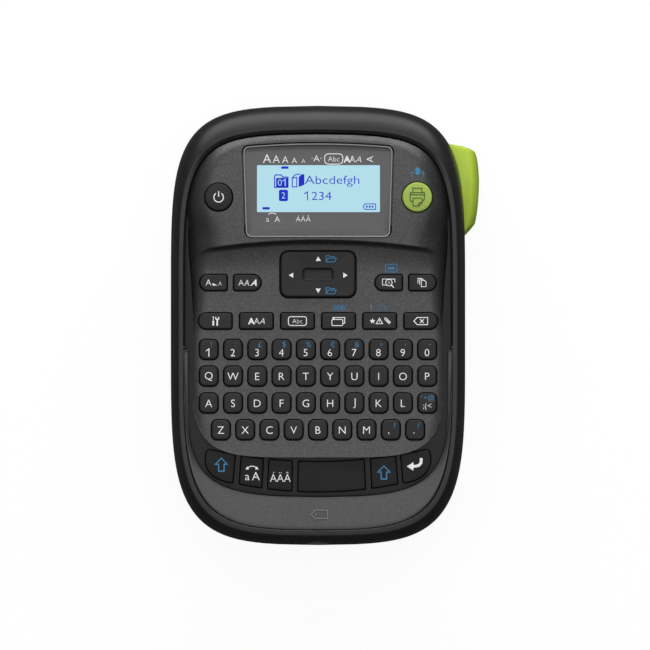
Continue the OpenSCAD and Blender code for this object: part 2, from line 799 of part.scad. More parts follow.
module print_head() {
    color("ivory") block([head_x[0], head_y - head_half, head_z[0]],
                         [head_x[1], head_y + head_half, head_z[1] - 1]);
}

module platen_shaft() {
    color("silver") post(platen, shaft_r, [4.5, 40]);
}

module platen_rubber() {
    color("#303032") difference() {
        post(platen, platen_r, [7, 28]);
        post(platen, shaft_r, [0, 40]);
    }
}

function inv(angle) = tan(angle) * 180 / PI - angle;

function gear_points(teeth, turn) =
    let (r = teeth * gear_module / 2, base = r * cos(pressure_angle),
         root = r - dedendum * gear_module, tip = r + addendum * gear_module,
         half = 90 / teeth - backlash / 2 / r * 180 / PI,
         radii = [root, max(base, root + 0.05), r, (r + tip) / 2, tip],
         flank = [for (q = radii)
             [q, half + inv(pressure_angle) - inv(acos(min(1, base / max(base, q))))]])
    [for (k = [0 : teeth - 1]) let (a = turn + 360 * k / teeth)
        each concat([for (f = flank) polar(f[0], a - f[1])],
                    [for (j = [4 : -1 : 0]) polar(flank[j][0], a + flank[j][1])])];

// The turn that brings a gear into mesh with a driver at a given angle.
function in_mesh(driver_teeth, driver_turn, teeth, angle) =
    angle + 180 - 360 / teeth * (0.5 - (angle - driver_turn) * driver_teeth / 360);

transfer_turn = in_mesh(platen_teeth, 0, transfer_teeth, transfer_at);
step_turn = in_mesh(transfer_teeth, transfer_turn, step_teeth, reduction_at);
pinion_turn = in_mesh(reduction_teeth, 0, pinion_teeth, motor_at);
takeup_turn = in_mesh(transfer_teeth, transfer_turn, takeup_teeth, takeup_at);

module gear(at, teeth, turn, z, bore) {
    difference() {
        translate([at[0], at[1], z[0]]) linear_extrude(z[1] - z[0])
            polygon(gear_points(teeth, turn));
        post(at, bore, [z[0] - 1, z[1] + 1]);
    }
}

module platen_gear() {
    color("white") gear(platen, platen_teeth, 0, low_gear_z, shaft_r);
}

module transfer_gear() {
    color("white") gear(transfer, transfer_teeth, transfer_turn, low_gear_z, shaft_r + running);
}

module reduction_gear() {
    color("white") {
        gear(reduction, reduction_teeth, 0, high_gear_z, shaft_r + running);
        gear(reduction, step_teeth, step_turn, [low_gear_z[0], high_gear_z[0] + eps], shaft_r + running);
    }
}

module motor_pinion() {
    color("gold") gear(motor, pinion_teeth, pinion_turn, high_gear_z, 1);
    color("silver") post(motor, 1, [floor_z[0] + 0.05, high_gear_z[1] + 0.6]);
}

module drive_motor() {
    color("gray") post(motor, motor_r, [7, floor_z[0]]);
}

module takeup_gear() {
    color("white") {
        gear(takeup, takeup_teeth, takeup_turn, low_gear_z, 1);
        post(takeup, 2, [8, low_gear_z[0] + 1]);
    }
}

// ---- cartridge ----

module spool(at, bore, core_r) {
    difference() {
        union() {
            post(at, core_r, spool_z);
            for (z = [spool_z[0], spool_z[1] - 0.8]) post(at, spool_r, [z, z + 0.8]);
        }
        post(at, bore, [0, 40]);
    }
}

module ribbon_takeup_spool() {
    color("white") spool(takeup, 2, 4);
}

module ribbon_supply_spool() {
    color("white") spool(supply_at, 2 + running, 5.4);
}

module tape_hub() {
    color("white") difference() {
        post(roll_at, 9.9, spool_z);
        post(roll_at, 3 + running, [0, 40]);
    }
}

module tape_roll() {
    color("#f2f2ee") difference() {
        post(roll_at, roll_r, tape_z);
        post(roll_at, 9.9, [0, 40]);
    }
}

module cartridge_case() {
    color("#d5d8da") {
        difference() {
            block(cartridge_low, cartridge_high);
            block(cartridge_low + cartridge_wall * [1, 1, 1], cartridge_high - cartridge_wall * [1, 1, 1]);
            post(takeup, 3, [0, 40]);
            block([cartridge_high[0] - 4, guide_at[1] - 2.4, 6],
                  [cartridge_high[0] + 4, guide_at[1] + 1.6, 28]);
            // Viewing window for the tape left on the roll.
            block([roll_at[0] - 4, roll_at[1] + 11, 0], [roll_at[0] + 4, roll_at[1] + 19, 5.5]);
        }
        post(roll_at, 3, [5, 29]);
        post(supply_at, 2, [5, 29]);
    }
}

module label_tape() {
    exit = [roll_at[0] + 1, roll_at[1] - roll_r - 0.7];
    run = guide_at - [0, 1.2] - exit;
    color("white") {
        translate([exit[0], exit[1], tape_z[0]]) rotate(atan2(run[1], run[0]))
            cube([norm(run), tape_t, tape_z[1] - tape_z[0]]);
        block([guide_at[0] - 0.3, guide_at[1] - 1.3, tape_z[0]],
              [tape_x + tape_t / 2, guide_at[1] - 1, tape_z[1]]);
        block([tape_x - tape_t / 2, guide_at[1] - 1.3, tape_z[0]],
              [tape_x + tape_t / 2, fixed_blade_y[1] - 0.1, tape_z[1]]);
    }
}

rear_case();
rear_cover();
front_case();
face_panel();
chin_plate();
inner_frame();
case_screws();
lcd_window();
lcd_module();
keypad_mat();
main_board();
batteries();
battery_contacts();
dc_jack();
cutter_lever();
lever_pin();
lever_spring();
blade_carriage();
moving_blade();
fixed_blade();
head_arm();
print_head();
platen_shaft();
platen_rubber();
platen_gear();
transfer_gear();
reduction_gear();
motor_pinion();
drive_motor();
takeup_gear();
ribbon_takeup_spool();
ribbon_supply_spool();
tape_hub();
tape_roll();
cartridge_case();
label_tape();
round_key(-1, power_r, "#2b2b2d");  // power_key
round_key(1, print_r, "#a8d860");  // print_key
nav_pivot();
nav_pad();
upper_key(0);  // text_size_key
upper_key(1);  // font_key
upper_key(2);  // preview_key
upper_key(3);  // copies_key
tool_key(0);  // setup_key
tool_key(1);  // style_key
tool_key(2);  // frame_key
tool_key(3);  // layout_key
tool_key(4);  // symbol_key
tool_key(5);  // delete_key
band_key(0);  // shift_key_left
band_key(1);  // case_key
band_key(2);  // accent_key
band_key(3);  // space_key
band_key(4);  // shift_key_right
band_key(5);  // enter_key
letter_row(0, 10);  // number_keys
letter_row(1, 10);  // upper_letter_keys
letter_row(2, 10);  // home_letter_keys
letter_row(3, 9);  // lower_letter_keys
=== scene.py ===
import bpy, bmesh, math
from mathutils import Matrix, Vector


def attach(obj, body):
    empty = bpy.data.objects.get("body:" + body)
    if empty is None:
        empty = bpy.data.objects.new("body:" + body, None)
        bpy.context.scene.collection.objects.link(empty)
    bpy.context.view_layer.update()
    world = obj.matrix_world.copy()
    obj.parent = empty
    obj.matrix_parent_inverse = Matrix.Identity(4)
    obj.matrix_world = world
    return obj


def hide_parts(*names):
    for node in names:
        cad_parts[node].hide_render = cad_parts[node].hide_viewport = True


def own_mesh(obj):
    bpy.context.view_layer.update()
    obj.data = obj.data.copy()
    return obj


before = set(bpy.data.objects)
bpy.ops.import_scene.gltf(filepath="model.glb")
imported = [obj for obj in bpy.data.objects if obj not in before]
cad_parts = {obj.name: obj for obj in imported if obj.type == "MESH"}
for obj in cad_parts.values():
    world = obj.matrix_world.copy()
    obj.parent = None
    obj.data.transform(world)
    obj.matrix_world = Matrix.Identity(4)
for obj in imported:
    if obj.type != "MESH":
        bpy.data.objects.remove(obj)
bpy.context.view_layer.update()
bpy.ops.object.select_all(action="DESELECT")
mm = 0.001
print("casing frame loaded")

# ---------- small tools ----------

def activate(piece):
    bpy.ops.object.select_all(action="DESELECT")
    piece.select_set(True)
    bpy.context.view_layer.objects.active = piece

def named(name):
    piece = bpy.context.object
    piece.name = piece.data.name = name
    return piece

def applied(piece, kind, **values):  # a modifier, set and applied
    activate(piece)
    step = piece.modifiers.new(kind.lower(), kind)
    for label, value in values.items():
        setattr(step, label, value)
    bpy.ops.object.modifier_apply(modifier=step.name)
    return piece

def turnedOut(piece):  # faces point outwards
    activate(piece)
    bpy.ops.object.mode_set(mode="EDIT")
    bpy.ops.mesh.select_all(action="SELECT")
    bpy.ops.mesh.normals_make_consistent(inside=False)
    bpy.ops.object.mode_set(mode="OBJECT")
    return piece

def keyOf(p):
    return (round(p[0], 6), round(p[1], 6), round(p[2], 6))

def loft(name, rings, around=False):  # a skin over rings; closed at both ends, or the last ring meets the first
    rings = [[Vector((x * mm, y * mm, z * mm)) for x, y, z in ring] for ring in rings]
    bpy.ops.object.select_all(action="DESELECT")
    bpy.ops.mesh.primitive_circle_add(vertices=len(rings[0]), fill_type="NOTHING")
    piece = named(name)
    for v, p in zip(piece.data.vertices, rings[0]):
        v.co = p
    bpy.ops.object.mode_set(mode="EDIT")
    bpy.ops.mesh.select_all(action="SELECT")
    last = rings[0]
    for ring in rings[1:]:
        bpy.ops.mesh.extrude_region_move()
        mesh = bmesh.from_edit_mesh(piece.data)
        place = {keyOf(p): i for i, p in enumerate(last)}
        for v in [v for v in mesh.verts if v.select]:
            v.co = ring[place[keyOf(v.co)]]
        bmesh.update_edit_mesh(piece.data)
        last = ring
    if around:
        bpy.ops.mesh.select_all(action="SELECT")
        bpy.ops.mesh.remove_doubles(threshold=0.000001)
    else:
        bpy.ops.mesh.edge_face_add()
        bpy.ops.mesh.select_all(action="DESELECT")
        mesh = bmesh.from_edit_mesh(piece.data)
        mesh.verts.ensure_lookup_table()
        for i in range(len(rings[0])):
            mesh.verts[i].select = True
        mesh.select_flush(True)
        bpy.ops.mesh.edge_face_add()
    bpy.ops.object.mode_set(mode="OBJECT")
    return turnedOut(piece)

def smooth(piece, angle=30):
    activate(piece)
    bpy.ops.object.shade_smooth_by_angle(angle=math.radians(angle))
    return piece

def cutWith(piece, tools, how="DIFFERENCE"):
    tool = joined(tools, "tool") if isinstance(tools, list) else tools
    applied(piece, "BOOLEAN", operation=how, object=tool, solver="MANIFOLD")
    bpy.data.objects.remove(tool)
    return piece

def joined(pieces, name):
    activate(pieces[0])
    for p in pieces:
        p.select_set(True)
    if len(pieces) > 1:
        bpy.ops.object.join()
    return named(name)

def settle(piece):  # place goes into the mesh
    activate(piece)
    bpy.ops.object.transform_apply(location=True, rotation=True, scale=True)
    return piece

def box(name, low, high):
    bpy.ops.object.select_all(action="DESELECT")
    bpy.ops.mesh.primitive_cube_add(size=1)
    piece = named(name)
    piece.location = [(a + b) / 2 * mm for a, b in zip(low, high)]
    piece.scale = [(b - a) * mm for a, b in zip(low, high)]
    return settle(piece)

def rod(name, start, end, radius, sides=48):
    start, end = Vector(start) * mm, Vector(end) * mm
    bpy.ops.object.select_all(action="DESELECT")
    bpy.ops.mesh.primitive_cylinder_add(vertices=sides, radius=radius * mm, depth=(end - start).length)
    piece = named(name)
    piece.rotation_mode = "QUATERNION"
    piece.rotation_quaternion = Vector((0, 0, 1)).rotation_difference(end - start)
    piece.location = (start + end) / 2
    return settle(piece)

def bevelled(piece, width, segments=3, angle=40):
    return applied(piece, "BEVEL", width=width * mm, segments=segments, limit_method="ANGLE",
                   angle_limit=math.radians(angle))

def deal(piece, body, material, slot, *nodes):  # rides, is finished and stands for its nodes
    piece.data.materials.clear()
    piece.data.materials.append(material)
    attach(piece, body)
    if nodes:
        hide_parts(*nodes)
    return piece

# ---------- materials ----------

def socketGroup(name, inputs, outputs):
    group = bpy.data.node_groups.new(name, "ShaderNodeTree")
    for label, value in inputs.items():
        socket = group.interface.new_socket(label, in_out="INPUT", socket_type="NodeSocketFloat")
        socket.default_value = value
    for label in outputs:
        group.interface.new_socket(label, in_out="OUTPUT", socket_type="NodeSocketFloat")
    return group, group.nodes.new("NodeGroupInput"), group.nodes.new("NodeGroupOutput")

def mathNode(tree, how, a, b=None, clamp=False):
    node = tree.nodes.new("ShaderNodeMath")
    node.operation = how
    node.use_clamp = clamp
    for i, value in enumerate([a, b]):
        if value is None:
            continue
        if isinstance(value, (int, float)):
            node.inputs[i].default_value = value
        else:
            tree.links.new(value, node.inputs[i])
    return node.outputs[0]

def objectPlace(tree):
    return tree.nodes.new("ShaderNodeTexCoord").outputs["Object"]

def noiseOn(tree, place, scale, detail=3.0, rough=0.5):
    node = tree.nodes.new("ShaderNodeTexNoise")
    node.inputs["Detail"].default_value = detail
    node.inputs["Roughness"].default_value = rough
    tree.links.new(place, node.inputs["Vector"])
    if isinstance(scale, (int, float)):
        node.inputs["Scale"].default_value = scale
    else:
        tree.links.new(scale, node.inputs["Scale"])
    return node.outputs["Fac"]

def makeMouldGrain():  # fine spark texture of a moulded part
    group, start, end = socketGroup("mouldGrain", {"Scale": 2500.0}, ["Height", "Patch"])
    place = objectPlace(group)
    fine = noiseOn(group, place, start.outputs["Scale"], 4.0, 0.6)
    coarse = noiseOn(group, place, 60.0, 2.0)
    group.links.new(fine, end.inputs["Height"])
    group.links.new(coarse, end.inputs["Patch"])
    return group

def makeFlakes():  # bright specks in a metallic finish
    group, start, end = socketGroup("metalFlakes", {"Scale": 4000.0, "Amount": 0.6}, ["Mask"])
    place = objectPlace(group)
    cells = group.nodes.new("ShaderNodeTexVoronoi")
    group.links.new(place, cells.inputs["Vector"])
    group.links.new(start.outputs["Scale"], cells.inputs["Scale"])
    split = group.nodes.new("ShaderNodeSeparateColor")
    group.links.new(cells.outputs["Color"], split.inputs[0])
    tone = mathNode(group, "POWER", split.outputs[0], 2.2)
    group.links.new(mathNode(group, "MULTIPLY", tone, start.outputs["Amount"], True), end.inputs["Mask"])
    return group

def makeEdgeWear():  # rubbed edges
    group, start, end = socketGroup("edgeWear", {"Reach": 0.53, "Strength": 0.5}, ["Mask"])
    shape = group.nodes.new("ShaderNodeNewGeometry").outputs["Pointiness"]
    place = objectPlace(group)
    patch = noiseOn(group, place, 180.0, 4.0, 0.65)
    edge = mathNode(group, "SUBTRACT", shape, start.outputs["Reach"])
    edge = mathNode(group, "MULTIPLY", edge, 14.0, True)
    worn = mathNode(group, "MULTIPLY", edge, mathNode(group, "MULTIPLY", patch, 1.6))
    group.links.new(mathNode(group, "MULTIPLY", worn, start.outputs["Strength"], True), end.inputs["Mask"])
    return group

def makeDust():  # thin film with specks
    group, start, end = socketGroup("dustFilm", {"Amount": 0.1}, ["Mask"])
    place = objectPlace(group)
    cloud = noiseOn(group, place, 35.0, 5.0, 0.6)
    specks = noiseOn(group, place, 900.0, 2.0)
    film = mathNode(group, "MULTIPLY", mathNode(group, "SUBTRACT", cloud, 0.42), 2.2, True)
    both = mathNode(group, "MULTIPLY", film, mathNode(group, "ADD", specks, 0.3))
    group.links.new(mathNode(group, "MULTIPLY", both, start.outputs["Amount"], True), end.inputs["Mask"])
    return group

mouldGrain, metalFlakes, edgeWear, dustFilm = makeMouldGrain(), makeFlakes(), makeEdgeWear(), makeDust()

def toneMix(tree, share, a, b):
    node = tree.nodes.new("ShaderNodeMix")
    node.data_type = "RGBA"
    tree.links.new(share, node.inputs[0])
    for i, value in ((6, a), (7, b)):
        if isinstance(value, tuple):
            node.inputs[i].default_value = (*value, 1.0)
        else:
            tree.links.new(value, node.inputs[i])
    return node.outputs[2]

dustColour = (0.45, 0.43, 0.40)

def plastic(name, colour, rough, grain=0.15, grainScale=2600.0, flakes=0.0, flakeColour=(0.5, 0.5, 0.5),
            flakeScale=4200.0, wear=0.25, wearColour=None, dust=0.06, metallic=0.0, specular=0.5, patch=0.12):
    material = bpy.data.materials.new(name)
    material.use_nodes = True
    tree = material.node_tree
    shader = tree.nodes["Principled BSDF"]
    shader.inputs["Metallic"].default_value = metallic
    shader.inputs["Specular IOR Level"].default_value = specular
    def placeGroup(group, **values):
        node = tree.nodes.new("ShaderNodeGroup")
        node.node_tree = group
        for label, value in values.items():
            node.inputs[label].default_value = value
        return node
    grainNode = placeGroup(mouldGrain, Scale=grainScale)
    dark = tuple(c * (1 - patch) for c in colour)
    light = tuple(c * (1 + patch) for c in colour)
    tone = toneMix(tree, grainNode.outputs["Patch"], dark, light)
    if flakes:
        specks = placeGroup(metalFlakes, Scale=flakeScale, Amount=flakes).outputs["Mask"]
        tone = toneMix(tree, specks, tone, flakeColour)
    worn = wearColour or tuple(min(1, c * 2.2 + 0.03) for c in colour)
    tone = toneMix(tree, placeGroup(edgeWear, Strength=wear).outputs["Mask"], tone, worn)
    tone = toneMix(tree, placeGroup(dustFilm, Amount=dust).outputs["Mask"], tone, dustColour)
    tree.links.new(tone, shader.inputs["Base Color"])
    ramp = tree.nodes.new("ShaderNodeMapRange")
    ramp.inputs["To Min"].default_value = rough * 0.88
    ramp.inputs["To Max"].default_value = min(1, rough * 1.14)
    tree.links.new(grainNode.outputs["Patch"], ramp.inputs["Value"])
    tree.links.new(ramp.outputs[0], shader.inputs["Roughness"])
    if grain:
        bump = tree.nodes.new("ShaderNodeBump")
        bump.inputs["Strength"].default_value = grain
        bump.inputs["Distance"].default_value = 0.0001
        tree.links.new(grainNode.outputs["Height"], bump.inputs["Height"])
        tree.links.new(bump.outputs[0], shader.inputs["Normal"])
    return material

# ink for printed marks; a glow colour and strength add emission, which is painted glow, since ink is no lamp
def inkOf(name, colour, glow=None, strength=0.0):
    material = plastic(name, colour, 0.5, grain=0.05, wear=0.0, dust=0.02, patch=0.04, specular=0.3)
    shader = material.node_tree.nodes["Principled BSDF"]
    if glow:
        shader.inputs["Emission Color"].default_value = (*glow, 1.0)
        shader.inputs["Emission Strength"].default_value = strength
    return material

def metal(name, colour, rough):
    return plastic(name, colour, rough, grain=0.08, grainScale=1400.0, wear=0.2, wearColour=(0.9, 0.9, 0.9),
                   dust=0.05, metallic=1.0, patch=0.08)

finish = {
    "shell": plastic("blackShell", (0.017, 0.017, 0.0175), 0.36, grain=0.16, wear=0.10, dust=0.03),
    "panel": plastic("speckledPanel", (0.078, 0.078, 0.080), 0.42, grain=0.05, grainScale=3000.0, flakes=0.30,
                     flakeColour=(0.28, 0.28, 0.29), flakeScale=3600.0, wear=0.08, dust=0.02, metallic=0.75),
    "chin": plastic("glossyTrim", (0.085, 0.085, 0.087), 0.34, grain=0.04, flakes=0.15,
                    flakeColour=(0.25, 0.25, 0.26), flakeScale=2600.0, wear=0.06, dust=0.02, metallic=0.75),
    "band": plastic("blackBand", (0.009, 0.009, 0.0095), 0.38, specular=0.30, grain=0.05, wear=0.04, dust=0.02),
    "key": plastic("keyBlack", (0.014, 0.014, 0.0145), 0.44, specular=0.40, grain=0.08, wear=0.08, dust=0.02),
    "bandKey": plastic("bandKeyBlack", (0.006, 0.006, 0.0063), 0.44, specular=0.28, grain=0.05, wear=0.08, dust=0.02),
    "lime": plastic("leverLime", (0.68, 0.94, 0.075), 0.38, grain=0.05, wear=0.05,
                    wearColour=(0.70, 0.88, 0.22), dust=0.02, patch=0.03),
    "green": plastic("keyLime", (0.48, 0.68, 0.10), 0.38, grain=0.05, wear=0.05,
                     wearColour=(0.55, 0.74, 0.18), dust=0.02, patch=0.03),
    "mask": plastic("windowMask", (0.125, 0.125, 0.129), 0.36, grain=0.0, wear=0.0, dust=0.02, metallic=0.6,
                    patch=0.04),
    "bezel": plastic("windowBezel", (0.36, 0.36, 0.37), 0.30, grain=0.03, wear=0.0, dust=0.02, metallic=0.5),
    "frame": plastic("framePlastic", (0.035, 0.035, 0.036), 0.5, grain=0.3, wear=0.1, dust=0.08),
    "jack": plastic("jackBlack", (0.008, 0.008, 0.008), 0.35, grain=0.1),
    "mat": plastic("keypadRubber", (0.015, 0.015, 0.0155), 0.7, grain=0.3, wear=0.0, dust=0.08),
    "board": plastic("solderMask", (0.01, 0.07, 0.03), 0.3, grain=0.05, wear=0.1, wearColour=(0.6, 0.45, 0.2)),
    "cell": plastic("cellSleeve", (0.05, 0.05, 0.055), 0.28, grain=0.02, metallic=0.3),
    "gear": plastic("acetalWhite", (0.72, 0.71, 0.67), 0.45, grain=0.1, wear=0.1, dust=0.08, patch=0.05),
    "carriage": plastic("carriagePlastic", (0.60, 0.60, 0.58), 0.45, grain=0.1),
    "cartridge": plastic("cartridgeGrey", (0.42, 0.44, 0.45), 0.35, grain=0.15, dust=0.06, patch=0.05),
    "tape": plastic("labelFilm", (0.82, 0.82, 0.79), 0.35, grain=0.03, wear=0.0, dust=0.03, patch=0.03),
    "rubber": plastic("platenRubber", (0.02, 0.02, 0.02), 0.75, grain=0.3, wear=0.0),
    "ceramic": plastic("headCeramic", (0.75, 0.72, 0.62), 0.25, grain=0.02),
    "steel": metal("brightSteel", (0.62, 0.63, 0.64), 0.28),
    "nickel": metal("nickelPlate", (0.66, 0.64, 0.60), 0.32),
    "brass": metal("pinionBrass", (0.78, 0.58, 0.24), 0.3),
    # white ink with a faint painted glow that makes small legends read brighter
    "white": inkOf("whiteInkPaintedGlow", (0.92, 0.92, 0.92), (1, 1, 1), 0.22),
    "blue": inkOf("blueInk", (0.07, 0.31, 0.58)),
    "darkGreen": inkOf("printGlyphInk", (0.06, 0.11, 0.02)),
    # display area: its pale cyan is its own colour, its emission is painted glow
    "glow": inkOf("displayPaintedGlow", (0.10, 0.17, 0.19), (0.44, 0.72, 0.82), 0.85),
    # dark blue display segments with a painted blue glow
    "segment": inkOf("displaySegmentPaintedGlow", (0.003, 0.006, 0.30), (0.0, 0.02, 0.62), 0.55),
}
print("materials made")

# ---------- casing outline ----------

casing = {"halfWidth": 62.0, "halfLength": 92.5, "topPower": 5.1, "lowPower": 4.7, "bow": 450.0, "rimSlope": 0.02,
          "steps": 144, "notch": {"half": 6.5, "depth": 1.6, "low": 33.6, "high": 47.5}}

def bend(value, power):
    return math.copysign(abs(value) ** (2 / power), value)

def plan(side, top, low, topPower=None, lowPower=None):  # outline set in at the sides, far end and near end
    steps, points = casing["steps"], []
    for i in range(steps):
        c, s = math.cos(2 * math.pi * i / steps), math.sin(2 * math.pi * i / steps)
        power = (topPower or casing["topPower"]) if s >= 0 else (lowPower or casing["lowPower"])
        x = bend(c, power) * (casing["halfWidth"] - side)
        half = casing["halfLength"] - (top if s >= 0 else low) - x * x / (2 * casing["bow"])
        points.append((x, bend(s, power) * half))
    return points

def smoothStep(t):
    t = min(1, max(0, t))
    return t * t * (3 - 2 * t)

def planRing(z, side, top, low, slope=0.0, fall=0.0, sink=0.0, **powers):  # fall, sink: drop at near and far end
    def drop(y):
        return fall * smoothStep((-y - 50) / 34) + sink * smoothStep((y - 50) / 26)
    return [(x, y, z + slope * casing["rimSlope"] * y - drop(y)) for x, y in plan(side, top, low, **powers)]

# ---------- front casing ----------

# rows of height, inset at the sides, far end and near end, slope, near drop and far drop
frontProfile = [
    (32.15, 0.45, 0.45, 0.45), (32.3, 0.12, 0.12, 0.12), (32.8, 0, 0, 0), (38, 0.2, 0.05, 0.2),
    (41.5, 0.6, 0.25, 0.7, 0, 0.2), (43.8, 0.95, 0.6, 1.2, 0.15, 0.3), (45.0, 1.2, 1.1, 1.5, 0.35, 0.4),
    (46.2, 1.5, 2.0, 1.85, 0.5, 0.5), (47.2, 1.85, 3.15, 2.2, 0.65, 0.6), (48.1, 2.2, 4.7, 2.6, 0.8, 0.7),
    (48.85, 2.6, 6.4, 3.05, 0.9, 0.75), (49.4, 2.95, 7.95, 3.45, 0.95, 0.8), (49.75, 3.2, 9.1, 3.75, 1, 0.8),
    (49.92, 3.4, 9.75, 3.95, 1, 0.8), (49.98, 3.55, 10.05, 4.15, 1, 0.8), (50.0, 3.9, 10.3, 4.5, 1, 0.76, 0.1),
    (50.0, 4.6, 10.75, 5.3, 1, 0.68, 0.35), (49.98, 5.2, 11.3, 6.1, 1, 0.6, 0.65),
    (49.85, 5.35, 11.5, 6.3, 1, 0.6, 0.75), (49.3, 5.42, 11.6, 6.42, 1, 0.6, 0.75), (46.6, 5.5, 11.7, 6.5, 0.6),
    (46.4, 6.5, 12.5, 7.5), (44.8, 6.5, 12.5, 7.5), (44.0, 4.0, 6.5, 5.0), (40, 2.7, 3.2, 2.8),
    (32.15, 2.2, 2.2, 2.2)]

def makeFrontCasing():
    rings = [planRing(*row) for row in frontProfile]
    piece = loft("frontCasing", rings + [rings[0]], around=True)
    notch = casing["notch"]  # for the thumb, at the near end
    radius = (notch["half"] ** 2 + notch["depth"] ** 2) / (2 * notch["depth"])
    y = notch["depth"] - radius - casing["halfLength"]
    cutWith(piece, rod("notch", (0, y, notch["low"]), (0, y, notch["high"]), radius, 96))
    return smooth(piece, 24)

deal(makeFrontCasing(), "casing", finish["shell"], "shell", "front_case")
print("front casing made")

# ---------- rear casing and its cover ----------

rear = {"coverInset": 8.5, "coverTop": 16.1, "gap": 0.4, "hingeY": 79.0, "hingeZ": 1.7, "hingeR": 1.7, "pinR": 1.0,
        "hingeHalf": 26.0, "earW": 4.0, "leverWindow": ((44, 34.8, 8.0), (72, 78.2, 36)),
        "labelSlot": ((30.5, 80.5, 7), (33.5, 94, 29)), "inlet": (29.5, 17.0), "inletR": 3.35, "dishR": 5.2,
        "leverPin": (54, 36), "pinBossR": 3.0, "ribs": 9, "ribY": -76.0, "ribPitch": 1.8, "ribHalf": 11.0,
        "dish": (15.0, 5.0, -62.0)}
rearProfile = [(0, 7.0), (0.35, 5.9), (1.2, 4.5), (2.4, 3.4), (4.2, 2.5), (7, 1.75), (12, 1.0), (20, 0.45), (28, 0.12),
               (31.3, 0.0), (31.7, 0.12), (31.85, 0.45)]
rearInner = [(2.4, 6.6), (4.5, 4.7), (8, 3.75), (14, 3.0), (24, 2.4), (31.85, 2.2)]

def coverShape(z, gap):
    return [(x, y, z) for x, y in plan(rear["coverInset"] + gap, rear["coverTop"] + gap, rear["coverInset"] + gap)]

def makeRearCasing():
    rings = [planRing(z, i, i, i) for z, i in rearProfile] + [planRing(z, i, i, i) for z, i in reversed(rearInner)]
    piece = loft("rearCasing", rings)
    half, y, z = rear["hingeHalf"], rear["hingeY"], rear["hingeZ"]
    cutWith(piece, loft("opening", [coverShape(-1, 0), coverShape(5, 0)]))
    cutWith(piece, box("tongueGap", (-half - 0.4, y - 6, -1), (half + 0.4, y + 2.2, 3.6)))
    for s in (-1, 1):
        x = s * (half + 0.4 + rear["earW"] / 2)
        ear = bevelled(box("ear", (x - 2, y - 2.2, 0), (x + 2, y + 3, z + 2.6)), 0.6)
        cutWith(piece, ear, "UNION")
        cutWith(piece, rod("earBore", (s * (half - 2), y, z), (s * (half + 4.1), y, z), rear["pinR"] + 0.05))
    cutWith(piece, bevelled(box("leverWindow", *rear["leverWindow"]), 1.2))
    cutWith(piece, bevelled(box("exitSlot", *rear["labelSlot"]), 0.5))
    cutWith(piece, rod("inlet", (-70, *rear["inlet"]), (-56, *rear["inlet"]), rear["inletR"]))
    cutWith(piece, rod("inletDish", (-66, *rear["inlet"]), (-61.0, *rear["inlet"]), rear["dishR"]))
    cutWith(piece, rod("pinBoss", (*rear["leverPin"], 2.3), (*rear["leverPin"], 8.4), rear["pinBossR"]), "UNION")
    return smooth(piece, 30)

deal(makeRearCasing(), "casing", finish["shell"], "shell", "rear_case")

def makeRearCover():
    half, y, z = rear["hingeHalf"], rear["hingeY"], rear["hingeZ"]
    inset = [(0.0, 0.35), (0.12, 0.1), (0.4, 0.0), (1.9, 0.0), (2.2, 0.15)]
    piece = loft("rearCover", [coverShape(high, rear["gap"] + i) for high, i in inset])
    cutWith(piece, box("tongue", (-half, y - 6, 0.0), (half, y, 2.2)), "UNION")
    cutWith(piece, box("trim", (-70, y, -1), (70, y + 20, 5)))
    for i in range(rear["ribs"]):  # ribs under the thumb
        low, wide = rear["ribY"] + i * rear["ribPitch"], rear["ribHalf"]
        cutWith(piece, bevelled(box("rib", (-wide, low, -0.6), (wide, low + 0.8, 0.45)), 0.2))
    wide, long, middle = rear["dish"]
    turns = [a / 24 * math.pi * 2 for a in range(24)]
    oval = [(wide * math.cos(a), long * math.sin(a)) for a in turns]
    cutWith(piece, loft("dish", [[(x * share, middle + y * share, high) for x, y in oval]
                                 for share, high in ((1, -0.3), (0.88, 0.5), (0.64, 0.8))]))
    barrel = rod("barrel", (-half, y, z), (half, y, z), rear["hingeR"])
    pin = rod("pin", (-half - 3.5, y, z), (half + 3.5, y, z), rear["pinR"])
    return joined([smooth(piece, 30), smooth(barrel), smooth(pin)], "rearCover")

deal(makeRearCover(), "back_cover", finish["shell"], "shell", "rear_cover")

print("rear casing made")

# ---------- deck: display hill and keyboard ----------

deck = {"half": 53.4, "wider": 2.8, "top": 80.2, "low": 55.4, "topPower": 5.2, "lowPower": 5.1,
        "hillZ": 53.7, "floorZ": 48.3, "rise": 2.6, "dishY": -8.0, "recessX": 54.0, "edgeY": 35.6, "edgeR": 310.0,
        "ramp": 13.5, "rampPower": 1.8, "stepWidth": 1.3, "stepShare": 0.62, "shoulderX": 38.0,
        "sideDepth": 7.6, "sideWidth": 13.0, "endDepth": 1.7, "endWidth": 5.0, "nearWidth": 6.0, "bow": 900.0}

def deckHalf(y):
    return deck["half"] + deck["wider"] * smoothStep(y / 45)

def deckDistance(x, y):  # (distance in from the outline, share of it that faces +-Y)
    half, power = (deck["top"] - x * x / deck["bow"], deck["topPower"]) if y >= 0 else (deck["low"], deck["lowPower"])
    wide = deckHalf(y)
    u, v = (abs(x) / wide) ** power, (abs(y) / half) ** power
    q = max(u + v, 1e-6)
    k = v / q
    return (wide * (1 - k) + half * k) * (1 - q ** (1 / power)), k

def hillEdge(x):
    r = deck["edgeR"]
    return deck["edgeY"] - (r - math.sqrt(r * r - x * x))

def hillShare(beyond, x, y):  # height share near the hill's edge: a short step, then a long slope
    a, b, r = beyond, deck["recessX"] - abs(x), 9  # the recess has rounded upper corners
    inner = r - math.hypot(r - a, r - b) if a < r and b < r else min(a, b)
    inner = max(0, inner) if beyond > 0 else 0
    slope = (1 - min(1, inner / deck["ramp"])) ** deck["rampPower"]
    step = (1 - min(1, inner / deck["stepWidth"])) ** 2
    step *= 1 - smoothStep((abs(x) - deck["shoulderX"]) / 14) * smoothStep((52 - y) / 16)
    return slope * (1 - deck["stepShare"]) + step * deck["stepShare"]

